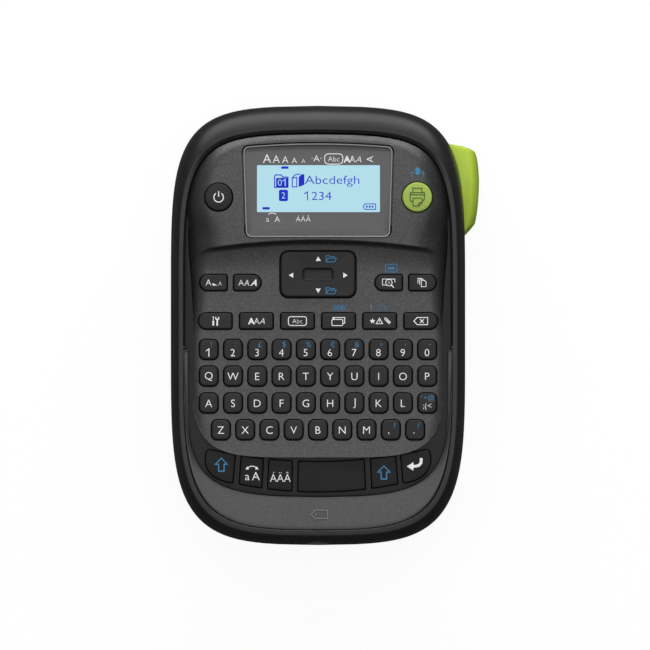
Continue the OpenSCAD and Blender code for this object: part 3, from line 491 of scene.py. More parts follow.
def deckZ(x, y):
    inside, k = deckDistance(x, y)
    dish = (y - deck["dishY"]) / 38
    low = deck["floorZ"] + (0.5 * dish ** 2 if dish > 0 else deck["rise"] * (-dish * 38 / 47.4) ** 3)
    beyond = hillEdge(x) - y  # how far below the hill's edge
    share = sum(hillShare(beyond + d, x, y) for d in (-0.35, 0, 0.35)) / 3
    share *= 1 - smoothStep((30 - y) / 32)
    crown = 0.75 * math.sin(math.pi * min(1, max(0, -beyond / 45)))
    z = low + (deck["hillZ"] - low) * share + crown
    onHill = smoothStep((y + 10) / 40)
    width = (deck["sideWidth"] * (1 - k) + deck["endWidth"] * k) * onHill + deck["nearWidth"] * (1 - onHill)
    depth = (deck["sideDepth"] * (1 - k) + deck["endDepth"] * k) * onHill + deck["endDepth"] * (1 - k) * (1 - onHill)
    s = min(1, max(0, inside / width))
    return z - depth * (1 - s) ** 2.6

def deckRing(z, inset):
    steps, points = 216, []
    for i in range(steps):
        c, s = math.cos(2 * math.pi * i / steps), math.sin(2 * math.pi * i / steps)
        power, half = (deck["topPower"], deck["top"]) if s >= 0 else (deck["lowPower"], deck["low"])
        y = bend(s, power) * (half - inset)
        x = bend(c, power) * (deckHalf(y) - inset)
        points.append((x, y - (bend(s, power) * x * x / deck["bow"] if s >= 0 else 0), z))
    return points

# ---------- key places ----------

keys = {"pitch": 10.2, "w": 7.75, "l": 8.3, "r": 2.3, "gap": 0.46, "rise": 1.35, "skirtZ": 46.2,
        "rows": [-10.1, -21.3, -32.6, -43.85], "counts": [10, 10, 10, 9],
        "toolW": 14.0, "toolL": 6.7, "toolPitch": 17.27, "toolY": 1.85, "upperW": 11.4, "upperY": 18.0,
        "upperX": [-43.9, -29.7, 29.7, 43.9], "smallR": 0.95, "endR": 3.3}

def columns(row):
    n = keys["counts"][row]
    return [(i - (n - 1) / 2) * keys["pitch"] for i in range(n)]

def tablet(cx, cy, w, l, left, right, grow=0.0):
    w, l, left, right = w + 2 * grow, l + 2 * grow, max(0.15, left + grow), max(0.15, right + grow)
    points = []
    for q, (sx, sy, r) in enumerate(((1, 1, right), (-1, 1, left), (-1, -1, left), (1, -1, right))):
        r = min(r, l / 2 - 0.01)
        for i in range(8):
            a = math.radians(90 * q + 90 * i / 7)
            points.append((cx + sx * (w / 2 - r) + r * math.cos(a), cy + sy * (l / 2 - r) + r * math.sin(a)))
    return points

def inward(points, d):  # offset of a rounded outline
    out, n = [], len(points)
    for i in range(n):
        a, b, c = Vector(points[i - 1]), Vector(points[i]), Vector(points[(i + 1) % n])
        u, v = (b - a).normalized(), (c - b).normalized()
        m = (Vector((-u.y, u.x)) + Vector((-v.y, v.x)))
        m = m.normalized() if m.length > 1e-9 else Vector((-u.y, u.x))
        out.append(tuple(b + m * d / max(0.5, m.dot(Vector((-u.y, u.x))))))
    return out

def flatRing(points, z):
    return [(x, y, z) for x, y in points]

def towards(points, share):
    cx = sum(p[0] for p in points) / len(points)
    cy = sum(p[1] for p in points) / len(points)
    return [(cx + (x - cx) * share, cy + (y - cy) * share) for x, y in points]

def capRings(outline, low, high, round, crown, foot=0.1, steps=4, shares=(0.8, 0.55, 0.3, 0.1)):
    rings = [flatRing(inward(outline, foot), low), flatRing(outline, low + 0.3), flatRing(outline, high - round)]
    for k in range(1, steps + 1):
        a = math.pi / 2 * k / steps
        rings.append(flatRing(inward(outline, round * (1 - math.cos(a))), high - round + round * math.sin(a)))
    top = inward(outline, round)
    return rings + [flatRing(towards(top, share), high + crown * (1 - share * share)) for share in shares]

def keyCap(name, outline, low, high, round, crown):
    return smooth(loft(name, capRings(outline, low, high, round, crown)), 40)

def cornerOf(isEnd):
    return keys["endR"] if isEnd else keys["smallR"]

toolOutlines = [((i - 2.5) * keys["toolPitch"], keys["toolY"], keys["toolW"], keys["toolL"], cornerOf(i == 0),
                 cornerOf(i == 5)) for i in range(6)]
upperOutlines = [(x, keys["upperY"], keys["upperW"], keys["toolL"], cornerOf(i % 2 == 0), cornerOf(i % 2 == 1))
                 for i, x in enumerate(keys["upperX"])]
nav = {"y": 21.5, "w": 31.6, "l": 19.4, "r": 3.4, "gap": 0.5, "high": 50.9, "round": 0.9, "dip": 0.45}
navOutline = tablet(0, nav["y"], nav["w"], nav["l"], nav["r"], nav["r"])
roundKeys = {"x": 41.7, "y": 53.9, "power": 5.8, "print": 6.2, "gap": 0.45}

def circlePoints(cx, cy, r, n=48):
    return [(cx + r * math.cos(2 * math.pi * i / n), cy + r * math.sin(2 * math.pi * i / n)) for i in range(n)]

# ---------- display window outline ----------

display = {"y": 57.0, "halfTop": 32.05, "halfLow": 31.0, "top": 75.9, "low": 36.9, "bulge": 1.2, "r": 3.0,
           "paneZ": 54.55, "glowZ": 53.78, "rollY": 72.3, "rollSlope": 0.25}

def windowOutline(inset=0.0, lowInset=None):
    corner, points = max(0.6, display["r"] - inset * 0.8), []
    halfTop, halfLow, top = display["halfTop"] - inset, display["halfLow"] - inset, display["top"] - inset
    low = display["low"] + (inset if lowInset is None else lowInset)
    for sx, sy, start in ((1, 1, 0), (-1, 1, 90), (-1, -1, 180), (1, -1, 270)):
        half, edge = (halfTop, top) if sy > 0 else (halfLow, low)
        for i in range(9):
            a = math.radians(start + 90 * i / 8)
            points.append((sx * (half - corner) + corner * math.cos(a), edge - sy * corner + corner * math.sin(a)))
        if sx > 0 and sy > 0:  # arched top edge
            for i in range(1, 16):
                x = (halfTop - corner) * (1 - i / 8)
                points.append((x, top + display["bulge"] * (1 - (x / (halfTop - corner)) ** 2)))
    return points

def makeDeck():
    across, along = 133, 168
    bpy.ops.object.select_all(action="DESELECT")
    bpy.ops.mesh.primitive_grid_add(x_subdivisions=across, y_subdivisions=along, size=2)
    piece = named("facePanel")
    for v in piece.data.vertices:
        x = v.co.x * (deck["half"] + deck["wider"] + 1.2)
        far = v.co.y > 0  # rows bend along the hill's edge and stand closer there
        row = math.copysign(abs(v.co.y) ** 1.35, v.co.y)
        row = deck["edgeY"] + row * (deck["top"] + 1.5 - deck["edgeY"] if far else deck["edgeY"] + deck["low"] + 1.5)
        near = 1 - smoothStep(abs(row - deck["edgeY"]) / (38 if far else 50))
        y = row + (hillEdge(x) - deck["edgeY"]) * near
        v.co = Vector((x, y, deckZ(x, y))) * mm
    activate(piece)
    bpy.ops.object.mode_set(mode="EDIT")
    bpy.ops.mesh.select_all(action="SELECT")
    bpy.ops.mesh.extrude_region_move(TRANSFORM_OT_translate={"value": (0, 0, -2.4 * mm)})
    bpy.ops.object.mode_set(mode="OBJECT")
    turnedOut(piece)
    cutWith(piece, loft("deckOutline", [deckRing(40, 0), deckRing(60, 0)]), "INTERSECT")
    tools = []
    def hole(points, low=40, high=60):
        tools.append(loft("hole", [flatRing(points, low), flatRing(points, high)]))
    for row in range(4):
        for x in columns(row):
            hole(tablet(x, keys["rows"][row], keys["w"], keys["l"], keys["r"], keys["r"], keys["gap"]))
    for outline in toolOutlines + upperOutlines:
        hole(tablet(*outline, grow=keys["gap"]))
    hole(inward(navOutline, -nav["gap"]))
    hole(windowOutline())
    for side, key in ((-1, "power"), (1, "print")):
        hole(circlePoints(side * roundKeys["x"], roundKeys["y"], roundKeys[key] + roundKeys["gap"]))
    cutWith(piece, tools)
    return smooth(piece, 38)

deal(makeDeck(), "casing", finish["panel"], "panel", "face_panel")
print("face panel made")

# ---------- band with the bottom keys ----------

band = {"z": 47.2, "topY": -56.8, "topR": 210.0, "lowY": -70.3, "lowR": 166.0, "fan": 1.03, "keyZ": 48.4,
        "spans": [(-32.5, -22.6), (-20.9, -10.4), (-8.6, 19.7), (21.7, 32.9)], "gap": 0.4}

def arcY(x, y, r):
    return y + r - math.sqrt(r * r - x * x)

def bandOutline(i):
    if i in (0, 5):
        x0, x1 = 34.4, 46.2
        low = (x0 * band["fan"], arcY(x0 * band["fan"], band["lowY"], band["lowR"]))
        points = [(x0, arcY(x0, band["topY"], band["topR"])), low]
        for k in range(1, 11):
            a = math.radians(9 * k)
            points.append((low[0] + 12.3 * math.sin(a) ** 1.05, low[1] + 9.6 * (1 - math.cos(a))))
        tip = arcY(x1, band["topY"], band["topR"])
        points += [(47.6, tip - 2.6), (47.1, tip - 1.2), (46.4, tip - 0.4), (45.4, tip - 0.15)]
        return [(-x, y) for x, y in reversed(points)] if i == 0 else points
    a, b = band["spans"][i - 1]
    xs = [a + (b - a) * k / 8 for k in range(9)]
    low = [(x * band["fan"], arcY(x * band["fan"], band["lowY"], band["lowR"])) for x in xs]
    high = [(x, arcY(x, band["topY"], band["topR"])) for x in reversed(xs)]
    return low + high

def softened(points, r=0.7):  # corners of a key rounded a little
    out, n = [], len(points)
    for i in range(n):
        a, b, c = Vector(points[i - 1]), Vector(points[i]), Vector(points[(i + 1) % n])
        u, v = (a - b), (c - b)
        if u.normalized().dot(v.normalized()) > -0.85:
            d = min(r, u.length * 0.45, v.length * 0.45)
            p, q = b + u.normalized() * d, b + v.normalized() * d
            for k in range(5):
                t = k / 4
                out.append(tuple(p * (1 - t) ** 2 + b * 2 * t * (1 - t) + q * t * t))
        else:
            out.append(tuple(b))
    return out

def makeBand():
    def outline(inset, z):
        return planRing(z, 5.6 + inset, 11.8 + inset, 20.3 + inset, topPower=5.1, lowPower=4.9)
    piece = loft("keyBand", [outline(0.0, 46.5), outline(0.0, band["z"] - 0.5), outline(0.4, band["z"] - 0.1),
                             outline(0.9, band["z"]), outline(3, band["z"] + 0.03)])
    cutWith(piece, loft("deckGap", [deckRing(40, 1.2), deckRing(60, 1.2)]))
    shapes = [softened(bandOutline(i)) for i in range(6)]
    cutWith(piece, [loft("hole", [flatRing(shape, 40), flatRing(shape, 60)]) for shape in shapes])
    return smooth(piece, 30)

deal(makeBand(), "casing", finish["band"], "panel")

# ---------- lower trim plate ----------

chin = {"rise": 0.08, "outerZ": 49.9, "bulge": 0.16, "fall": 0.62, "wall": 1.6,
        "innerHalf": 55.6, "innerLow": 72.0, "innerPower": 5.1, "outerHalf": 56.3, "outerLow": 85.75, "outerPower": 4.7,
        "tip": 0.13}

def chinCorner(share, half, low, power):  # a point of an edge; share runs 0 at the middle to 1 at the tip
    if share < 0.6:
        a = math.radians(share / 0.6 * 76)
        x, w = math.sin(a) ** (2 / power), math.cos(a) ** (2 / power)
    else:
        start = math.cos(math.radians(76)) ** (2 / power)
        w = start + (chin["tip"] - start) * (share - 0.6) / 0.4
        x = (1 - w ** power) ** (1 / power)
    x *= half
    return x, -w * (low - x * x / 900)

def makeChin():
    across, along = 13, 190
    bpy.ops.object.select_all(action="DESELECT")
    bpy.ops.mesh.primitive_grid_add(x_subdivisions=along, y_subdivisions=across, size=2)
    piece = named("lowerTrim")
    for v in piece.data.vertices:
        share, side, t = abs(v.co.x), math.copysign(1, v.co.x), (v.co.y + 1) / 2
        half = chin["innerHalf"] + 0.45 * smoothStep((share - 0.7) / 0.3)
        inner = chinCorner(share, half, chin["innerLow"], chin["innerPower"])
        outer = chinCorner(share, chin["outerHalf"], chin["outerLow"], chin["outerPower"])
        width = math.hypot(outer[0] - inner[0], outer[1] - inner[1])
        x, y = inner[0] * (1 - t) + outer[0] * t, inner[1] * (1 - t) + outer[1] * t
        edge = min(1, t * width / 0.4, (1 - t) * width / 0.35)
        z = chin["outerZ"] + 0.02 * y - chin["fall"] * smoothStep((-y - 50) / 34) - chin["rise"] * width * (1 - t)
        z += chin["bulge"] * min(1.0, width / 13) * math.sin(math.pi * t) - 0.22 * (1 - edge)
        v.co = Vector((side * x, y, z)) * mm
    down = 1 if piece.data.polygons[0].normal.z < 0 else -1
    return smooth(turnedOut(applied(piece, "SOLIDIFY", thickness=chin["wall"] * mm, offset=down)), 40)

deal(makeChin(), "casing", finish["chin"], "chin", "chin_plate")
print("band and lower trim made")

# ---------- keys ----------

rowBodies = ["number_keys", "upper_letter_keys", "home_letter_keys", "lower_letter_keys"]
capZ = {}
for row, node in enumerate(rowBodies):
    capZ[node] = deckZ(0, keys["rows"][row]) + keys["rise"]
    outline = tablet(0, 0, keys["w"], keys["l"], keys["r"], keys["r"])
    first = keyCap(node + "Caps", outline, keys["skirtZ"], capZ[node], 0.55, 0.1)
    caps = [first]
    for x in columns(row)[1:]:
        activate(first)
        bpy.ops.object.duplicate()
        copy = bpy.context.object
        copy.location = (x * mm, keys["rows"][row] * mm, 0)
        caps.append(settle(copy))
    first.location = (columns(row)[0] * mm, keys["rows"][row] * mm, 0)
    settle(first)
    deal(joined(caps, node + "Caps"), node + "_body", finish["key"], "key_plastic", node)

toolNodes = ["setup_key", "style_key", "frame_key", "layout_key", "symbol_key", "delete_key"]
upperNodes = ["text_size_key", "font_key", "preview_key", "copies_key"]
for node, outline in zip(toolNodes + upperNodes, toolOutlines + upperOutlines):
    capZ[node] = deckZ(0.75 * outline[0], outline[1]) + keys["rise"]
    cap = keyCap(node + "Cap", tablet(*outline), keys["skirtZ"], capZ[node], 0.5, 0.08)
    deal(cap, node + "_body", finish["key"], "key_plastic", node)

bandNodes = ["shift_key_left", "case_key", "accent_key", "space_key", "shift_key_right", "enter_key"]
for i, node in enumerate(bandNodes):
    capZ[node] = band["keyZ"]
    outline = inward(softened(bandOutline(i), 1.0), band["gap"])
    cap = keyCap(node + "Cap", outline, 45.6, band["keyZ"], 0.3, 0.1)
    deal(cap, node + "_body", finish["bandKey"], "key_plastic", node)

def roundCap(node, x, r, high, crown):
    y = roundKeys["y"]
    rings = capRings(circlePoints(x, y, r), 50.5, high, 0.6, crown, steps=5, shares=(0.85, 0.65, 0.4, 0.15))
    cap = smooth(loft(node + "Cap", rings), 40)
    stem = smooth(rod("stem", (x, y, 45.2), (x, y, 50.6), 2.0))
    capZ[node] = high + crown
    return joined([cap, stem], node + "Cap")

power = roundCap("power_key", -roundKeys["x"], roundKeys["power"], 54.8, 0.5)
deal(power, "power_key_body", finish["key"], "key_plastic", "power_key")
printer = roundCap("print_key", roundKeys["x"], roundKeys["print"], 55.2, 0.3)
deal(printer, "print_key_body", finish["green"], "green_plastic", "print_key")

def makeNavPad():
    high = nav["high"]
    piece = loft("cursorPad", capRings(navOutline, 46.0, high, nav["round"], -nav["dip"], foot=0.15, steps=5,
                                       shares=(0.94, 0.8, 0.6, 0.35, 0.12)))
    dip = [flatRing(tablet(0, nav["y"], 12.6, 5.0, 1.5, 1.5, grow), high + z)
           for grow, z in ((-1.0, -1.5), (-0.35, -1.45), (0.0, -1.2), (0.5, 0.3))]
    return smooth(cutWith(piece, loft("dip", dip)), 35)

deal(makeNavPad(), "nav_plate", finish["key"], "key_plastic", "nav_pad")
print("keys made")

# ---------- display window ----------

def makeWindow():
    def rings(*rows):
        return [flatRing(windowOutline(inset, lowInset), z) for inset, lowInset, z in rows]
    z = display["paneZ"]
    bezel = loft("windowBezel", rings((0.7, 0.2, 51.9), (0.7, 0.2, z - 0.12), (0.8, 0.3, z + 0.02),
                                      (1.0, 0.5, z + 0.05), (1.2, 0.7, z - 0.05), (1.3, 0.8, z - 0.3),
                                      (1.3, 0.8, 51.9), (0.7, 0.2, 51.9)), around=True)
    deal(smooth(bezel, 40), "casing", finish["bezel"], "window")
    low, inner = z - 0.82, windowOutline(3.4, 3.8)
    middle = [flatRing(towards(inner, share), low) for share in (0.6, 0.2)]
    pane = loft("windowPane", rings((1.25, 0.75, 52.0), (1.25, 0.75, z - 0.12), (1.5, 1.0, z - 0.2),
                                    (3.0, 3.4, z - 0.75), (3.4, 3.8, low)) + middle)
    for v in pane.data.vertices:  # its far edge rolls over
        if v.co.z > 53 * mm and v.co.y > display["rollY"] * mm:
            v.co.z = low * mm - display["rollSlope"] * (v.co.y - display["rollY"] * mm)
    deal(smooth(pane, 30), "casing", finish["mask"], "window", "lcd_window")
    # the display area carries a painted glow over its own pale cyan
    glow = tablet(0.2, 57.45, 51.6, 19.7, 0.4, 0.4)
    glowing = loft("displayPaintedGlow", [flatRing(glow, display["glowZ"] + lift) for lift in (-0.06, 0.02)])
    deal(glowing, "casing", finish["glow"], "display")

makeWindow()
print("display made")

# ---------- printed marks ----------

ink = {"thick": 0.05, "capHeight": 0.729, "lift": 0.06, "plain": 0.42}

def placed(piece, x, y, z, turn):
    piece.rotation_euler = (0, 0, math.radians(turn))
    piece.location = (x * mm, y * mm, z * mm)
    return settle(piece)

def word(text, size, x, y, z, slant=0.0, turn=0.0, wide=1.0, bold=-0.04, outlined=0.0):
    bpy.ops.object.select_all(action="DESELECT")
    bpy.ops.object.text_add(location=(0, 0, 0))
    letters = bpy.context.object.data
    letters.body = text
    letters.size = size / ink["capHeight"] * mm
    letters.shear = slant
    letters.offset = bold * mm
    letters.resolution_u = 3
    if outlined:
        letters.fill_mode = "NONE"
        letters.bevel_depth = outlined * mm
        letters.bevel_resolution = 0
    else:
        letters.extrude = ink["thick"] * mm
    bpy.ops.object.convert(target="MESH")
    piece = bpy.context.object
    xs = [v.co.x for v in piece.data.vertices]
    ys = [v.co.y for v in piece.data.vertices]
    cx, cy = (min(xs) + max(xs)) / 2, (min(ys) + max(ys)) / 2
    for v in piece.data.vertices:
        v.co.x, v.co.y = (v.co.x - cx) * wide, v.co.y - cy
    return placed(piece, x, y, z, turn)

def inked(outlines, x, y, z, turn=0.0):  # filled shape; an outline inside another is a hole
    curve = bpy.data.curves.new("mark", "CURVE")
    curve.dimensions = "2D"
    curve.fill_mode = "BOTH"
    curve.extrude = ink["thick"] * mm
    for points in outlines:
        spline = curve.splines.new("POLY")
        spline.points.add(len(points) - 1)
        for p, (px, py) in zip(spline.points, points):
            p.co = (px * mm, py * mm, 0, 1)
        spline.use_cyclic_u = True
    piece = bpy.data.objects.new("mark", curve)
    bpy.context.scene.collection.objects.link(piece)
    activate(piece)
    bpy.ops.object.convert(target="MESH")
    return placed(bpy.context.object, x, y, z, turn)

def stroke(points, width, closed=False):  # outlines of a drawn line
    n = len(points)
    left, right = [], []
    for i in range(n):
        a = Vector(points[i - 1]) if (i or closed) else None
        c = Vector(points[(i + 1) % n]) if (i < n - 1 or closed) else None
        b = Vector(points[i])
        u = (b - a).normalized() if a is not None else (c - b).normalized()
        v = (c - b).normalized() if c is not None else u
        m = Vector((-u.y - v.y, u.x + v.x))
        m = m.normalized() if m.length > 1e-6 else Vector((-u.y, u.x))
        d = width / 2 / max(0.45, m.dot(Vector((-u.y, u.x))))
        left.append(tuple(b + m * d))
        right.append(tuple(b - m * d))
    return [left, right] if closed else [left + right[::-1]]

def figureOne(height, x, y, z, width=ink["plain"]):  # plain 1 with no foot
    h = height / 2
    return inked(stroke([(-0.62 * h, 0.45 * h), (0.1 * h, 0.92 * h), (0.1 * h, -h)], width), x, y, z)

def arcOf(x, y, r, start, end, n=14):
    angles = [math.radians(start + (end - start) * i / n) for i in range(n + 1)]
    return [(x + r * math.cos(a), y + r * math.sin(a)) for a in angles]

def frameOf(w, l, r, width):
    return stroke(tablet(0, 0, w, l, r, r), width, True)

marks = {}

def mark(body, colour, piece):
    marks.setdefault((body, colour), []).append(piece)

def capTop(node):
    return capZ[node] + ink["lift"]

def onto(body, x, y, z, colour="white"):  # prints words, shapes and lines about one place on a body
    def text(words, size, dx=0.0, dy=0.0, colour=colour, **more):
        mark(body, colour, word(words, size, x + dx, y + dy, z, **more))
    def shape(outlines, dx=0.0, dy=0.0, colour=colour, **more):
        mark(body, colour, inked(outlines, x + dx, y + dy, z, **more))
    def line(points, width, dx=0.0, dy=0.0, closed=False, colour=colour):
        shape(stroke(points, width, closed), dx, dy, colour)
    return text, shape, line

def keyFace(nodes, outlines, i):
    return onto(nodes[i] + "_body", outlines[i][0], outlines[i][1], capTop(nodes[i]))

# letters and numbers
legend = {"letter": 3.35, "digit": 3.3, "small": 2.4, "smallBold": -0.02}
rowsOfLetters = ["1234567890", "QWERTYUIOP", "ASDFGHJKL", "ZXCVBNM"]
overDigits = "!:£$%€&*'-"
for row, letters in enumerate(rowsOfLetters):
    body, y, z = rowBodies[row] + "_body", keys["rows"][row], capTop(rowBodies[row])
    for x, letter, over in zip(columns(row), letters, overDigits):
        text, shape, line = onto(body, x, y, z)
        if row:
            text(letter, legend["letter"], 0, -0.1)
            continue
        if letter == "1":
            mark(body, "white", figureOne(legend["digit"], x - 0.1, y - 1.3, z))
        else:
            text(letter, legend["digit"], -0.1, -1.3)
        text(over, legend["small"], 1.1, 2.1, "blue", bold=legend["smallBold"])
for row, words, size, x, dy, colour in ((2, ";(<", 2.6, 45.9, -1.5, "white"), (2, "*+@", 2.2, 45.9, 2.1, "blue"),
                                        (3, ",", 3.3, 29.7, -1.5, "white"), (3, "?", 2.5, 32.2, 1.7, "blue"),
                                        (3, ".", 3.3, 40.3, -1.3, "white"), (3, "/", 2.5, 42.2, 1.9, "blue")):
    text, shape, line = onto(rowBodies[row] + "_body", x, keys["rows"][row] + dy, capTop(rowBodies[row]), colour)
    text(words, size, bold=legend["smallBold"] if colour == "blue" else -0.04)

# function row: tools, styles, frame, layout, symbols, delete
text, shape, line = keyFace(toolNodes, toolOutlines, 0)
shape([[(-0.35, -1.9), (0.35, -1.9), (0.35, -0.1), (0.14, 0.2), (0.14, 1.3), (0.3, 1.9), (-0.3, 1.9),
        (-0.14, 1.3), (-0.14, 0.2), (-0.35, -0.1)]], -0.8)
shape([[(-0.32, -1.9), (0.32, -1.9), (0.32, 0.35), (0.85, 0.9), (0.85, 1.6), (0.5, 1.95), (0.42, 1.15),
        (0.0, 0.95), (-0.42, 1.15), (-0.5, 1.95), (-0.85, 1.6), (-0.85, 0.9), (-0.32, 0.35)]], 0.85)
text, shape, line = keyFace(toolNodes, toolOutlines, 1)
text("A", 2.6, -2.1, bold=0.12)
text("A", 2.6, 0.15, outlined=0.09)
text("A", 2.6, 2.4, slant=0.3)
text, shape, line = keyFace(toolNodes, toolOutlines, 2)
text("Abc", 2.0)
shape(frameOf(7.6, 3.7, 1.0, 0.35))
text, shape, line = keyFace(toolNodes, toolOutlines, 3)
shape(frameOf(4.6, 2.6, 0.5, 0.32), -0.5, -0.6)
line([(-1.6, 0.3), (-1.6, 1.3), (3.0, 1.3), (3.0, -1.1), (2.3, -1.1)], 0.32, -0.4, 0.2)
shape([[(-0.6, 0), (0.6, 0), (0, 0.7)]], -2.2, 1.1)
text, shape, line = keyFace(toolNodes, toolOutlines, 4)
starPoints = [(1.3 if k % 2 == 0 else 0.52, math.radians(90 + 36 * k)) for k in range(10)]
shape([[(r * math.cos(a), r * math.sin(a)) for r, a in starPoints]], -3.0)
line([(-1.35, -1.1), (1.35, -1.1), (0, 1.25)], 0.3, -0.1, closed=True)
shape([[(-0.12, -0.2), (0.12, -0.2), (0.15, 0.55), (-0.15, 0.55)], circlePoints(0, -0.6, 0.16, 8)], -0.1, -0.05)
line([(1.2, -1.3), (-0.9, 0.7), (-0.9, 1.3), (-0.3, 1.3), (1.5, -0.5), (1.2, -0.8), (-0.3, 0.7)], 0.28, 3.0)
text, shape, line = keyFace(toolNodes, toolOutlines, 5)
line([(-2.9, 0), (-1.5, 1.5), (2.9, 1.5), (2.9, -1.5), (-1.5, -1.5)], 0.34, closed=True)
line([(-0.7, 0.8), (0.9, -0.8)], 0.34, 0.4)
line([(-0.7, -0.8), (0.9, 0.8)], 0.34, 0.4)

# small keys beside the cursor pad: text size, font, preview, copies
text, shape, line = keyFace(upperNodes, upperOutlines, 0)
text("A", 2.7, -2.1, 0.1)
shape([[(-0.9, 0.5), (-0.9, -0.5), (1.2, -0.5)]], 0.5, -0.7)
text("A", 1.7, 2.8, -0.4)
text, shape, line = keyFace(upperNodes, upperOutlines, 1)
text("A", 2.6, -2.6)
text("A", 2.4, -0.2, -0.1, slant=0.1, outlined=0.09)
text("A", 2.6, 2.6, slant=0.4, bold=0.1)
text, shape, line = keyFace(upperNodes, upperOutlines, 2)
line(circlePoints(0, 0, 1.35, 20), 0.3, 0.1, closed=True)
text("A", 1.4, 0.1)
line([(0, 0), (1.1, -1.1)], 0.4, 1.1, -1.0)
line([(-0.8, -1.3), (-2.6, -1.3), (-2.6, 1.2), (2.6, 1.2), (2.6, -0.2)], 0.28, 0, 0.3)
text, shape, line = keyFace(upperNodes, upperOutlines, 3)
for k in range(2):
    line([(-1.0, -0.9), (-1.0, 1.3), (0.8, 1.3)], 0.28, -0.9 + 0.7 * k, 0.5 - 0.45 * k)
line([(-1.0, -1.3), (-1.0, 1.3), (0.4, 1.3), (1.0, 0.7), (1.0, -1.3)], 0.28, 0.5, -0.4, True)

# round keys
text, shape, line = onto("power_key_body", -roundKeys["x"], roundKeys["y"], capTop("power_key"))
line(arcOf(0, -0.1, 2.0, 125, 415, 24), ink["plain"])
line([(0, 0.1), (0, 2.5)], ink["plain"])
text, shape, line = onto("print_key_body", roundKeys["x"], roundKeys["y"], capTop("print_key"), "darkGreen")
line([(-1.9, 1.9), (-1.9, 3.8), (1.9, 3.8), (1.9, 1.9)], 0.3)
line([(-3.0, 1.0), (3.0, 1.0)], 0.3)
line([(-1.8, -1.9), (-2.5, -1.9), (-3.0, -1.3), (-3.0, 1.9), (3.0, 1.9), (3.0, -0.7), (2.0, -2.0)], 0.3)
line([(-1.8, -0.4), (2.0, -0.4), (2.0, -2.3), (0.5, -3.7), (-1.8, -3.7)], 0.3, closed=True)
line([(0.5, -3.5), (0.6, -2.4), (1.9, -2.3)], 0.3)

# cursor pad
def onPad(x, y):  # height of the dished pad
    across, along = abs(x) / (nav["w"] / 2 - nav["round"]), abs(y - nav["y"]) / (nav["l"] / 2 - nav["round"])
    return nav["high"] - nav["dip"] * max(0, 1 - max(across, along) ** 2) + 0.07

for dx, dy, turn in ((0.1, 6.5, 0), (0.1, -6.9, 180), (-11.3, -0.4, 90), (11.5, -0.4, -90)):
    text, shape, line = onto("nav_plate", dx, nav["y"] + dy, onPad(dx, nav["y"] + dy))
    shape([[(-1.1, -0.9), (1.1, -0.9), (0, 1.0)]], turn=turn)
for dy in (6.5, -6.9):
    text, shape, line = onto("nav_plate", 5.3, nav["y"] + dy, onPad(5.3, nav["y"] + dy), "blue")
    line([(-1.9, -1.3), (-1.9, 1.3), (-0.7, 1.3), (-0.3, 0.9), (1.6, 0.9), (1.6, 0.2)], 0.32)
    line([(-1.9, -1.3), (-1.1, 0.2), (2.4, 0.2), (1.6, -1.3)], 0.32, closed=True)

# bottom band keys
arrowUp = [(0, 2.9), (2.5, 0.3), (1.15, 0.3), (1.15, -2.6), (-1.15, -2.6), (-1.15, 0.3), (-2.5, 0.3)]
for node, x, y in (("shift_key_left", -40.6, -58.6), ("shift_key_right", 27.7, -61.9)):
    text, shape, line = onto(node + "_body", x, y, capTop(node), "blue")
    line(arrowUp, 0.5, closed=True)
text, shape, line = onto("case_key_body", -27.7, -60.0, capTop("case_key"))
text("a", 3.7, -2.0, -3.9)
text("A", 3.7, 1.6, -3.3)
line(arcOf(0, -1.6, 2.4, 40, 140), 0.4, 0, 0.1)
for s in (-1, 1):
    shape([[(0, 0.75), (-0.75, -0.5), (0.75, -0.5)]], s * 2.1, -0.1, turn=180 + s * 60)
text, shape, line = onto("accent_key_body", -15.8, -63.6, capTop("accent_key"))
text("ÁÄÂ", 3.5, wide=0.92)
text, shape, line = onto("enter_key_body", 40.9, -58.6, capTop("enter_key"))
line([(2.5, 2.9), (2.4, 0.9), (1.6, -0.1), (0.4, -0.5), (-1.2, -0.6)], 1.15)
shape([[(-3.6, 0), (-0.8, 1.8), (-0.8, -1.8)]], 0, -0.6)
print("key legends made")

# marks printed on the panel: feed arrow, display, barcode, numbers
def draped(piece):  # follows the panel's surface
    for v in piece.data.vertices:
        v.co.z = (deckZ(v.co.x / mm, v.co.y / mm) + (0.15 if v.co.z > 0 else 0.02)) * mm
    mark("casing", "blue", piece)

barcode = {"widths": (0.35, 0.18, 0.45, 0.2, 0.3, 0.5, 0.2, 0.35, 0.22), "tall": (0, 3, 8), "pitch": 0.58}
feedArrow = [(-1.65, 0.5), (0, 2.1), (1.65, 0.5), (0.85, 0.5), (0.85, -1.2), (-0.85, -1.2), (-0.85, 0.5)]
draped(inked([feedArrow], 41.8, 64.5, 0))
for s in (-1, 1):
    draped(inked(stroke([(s * 1.3, -0.1), (s * 2.6, -0.1), (s * 2.6, -2.1)], 0.34), 41.8, 64.5, 0))
draped(inked(frameOf(4.9, 3.2, 0.6, 0.36), 30.8, 24.1, 0))
draped(inked([tablet(0, 0, 2.9, 1.2, 0.2, 0.2)], 30.8, 24.1, 0))
for k, w in enumerate(barcode["widths"]):
    bar = tablet(0, 0, w, 2.8 if k in barcode["tall"] else 2.2, 0.05, 0.05)
    draped(inked([bar], 6.9 + k * barcode["pitch"], 7.5, 0))
draped(figureOne(1.9, 22.4, 7.5, 0, 0.26))
draped(word(",2,3,··", 2.1, 27.9, 7.3, 0, wide=1.05))
tag = stroke([(-3.4, 0), (-1.9, 1.7), (3.4, 1.7), (3.4, -1.7), (-1.9, -1.7)], 0.45, True)
mark("casing", "tag", inked(tag + [circlePoints(-1.5, 0, 0.4, 12)], 0.6, -79.3, 49.6))

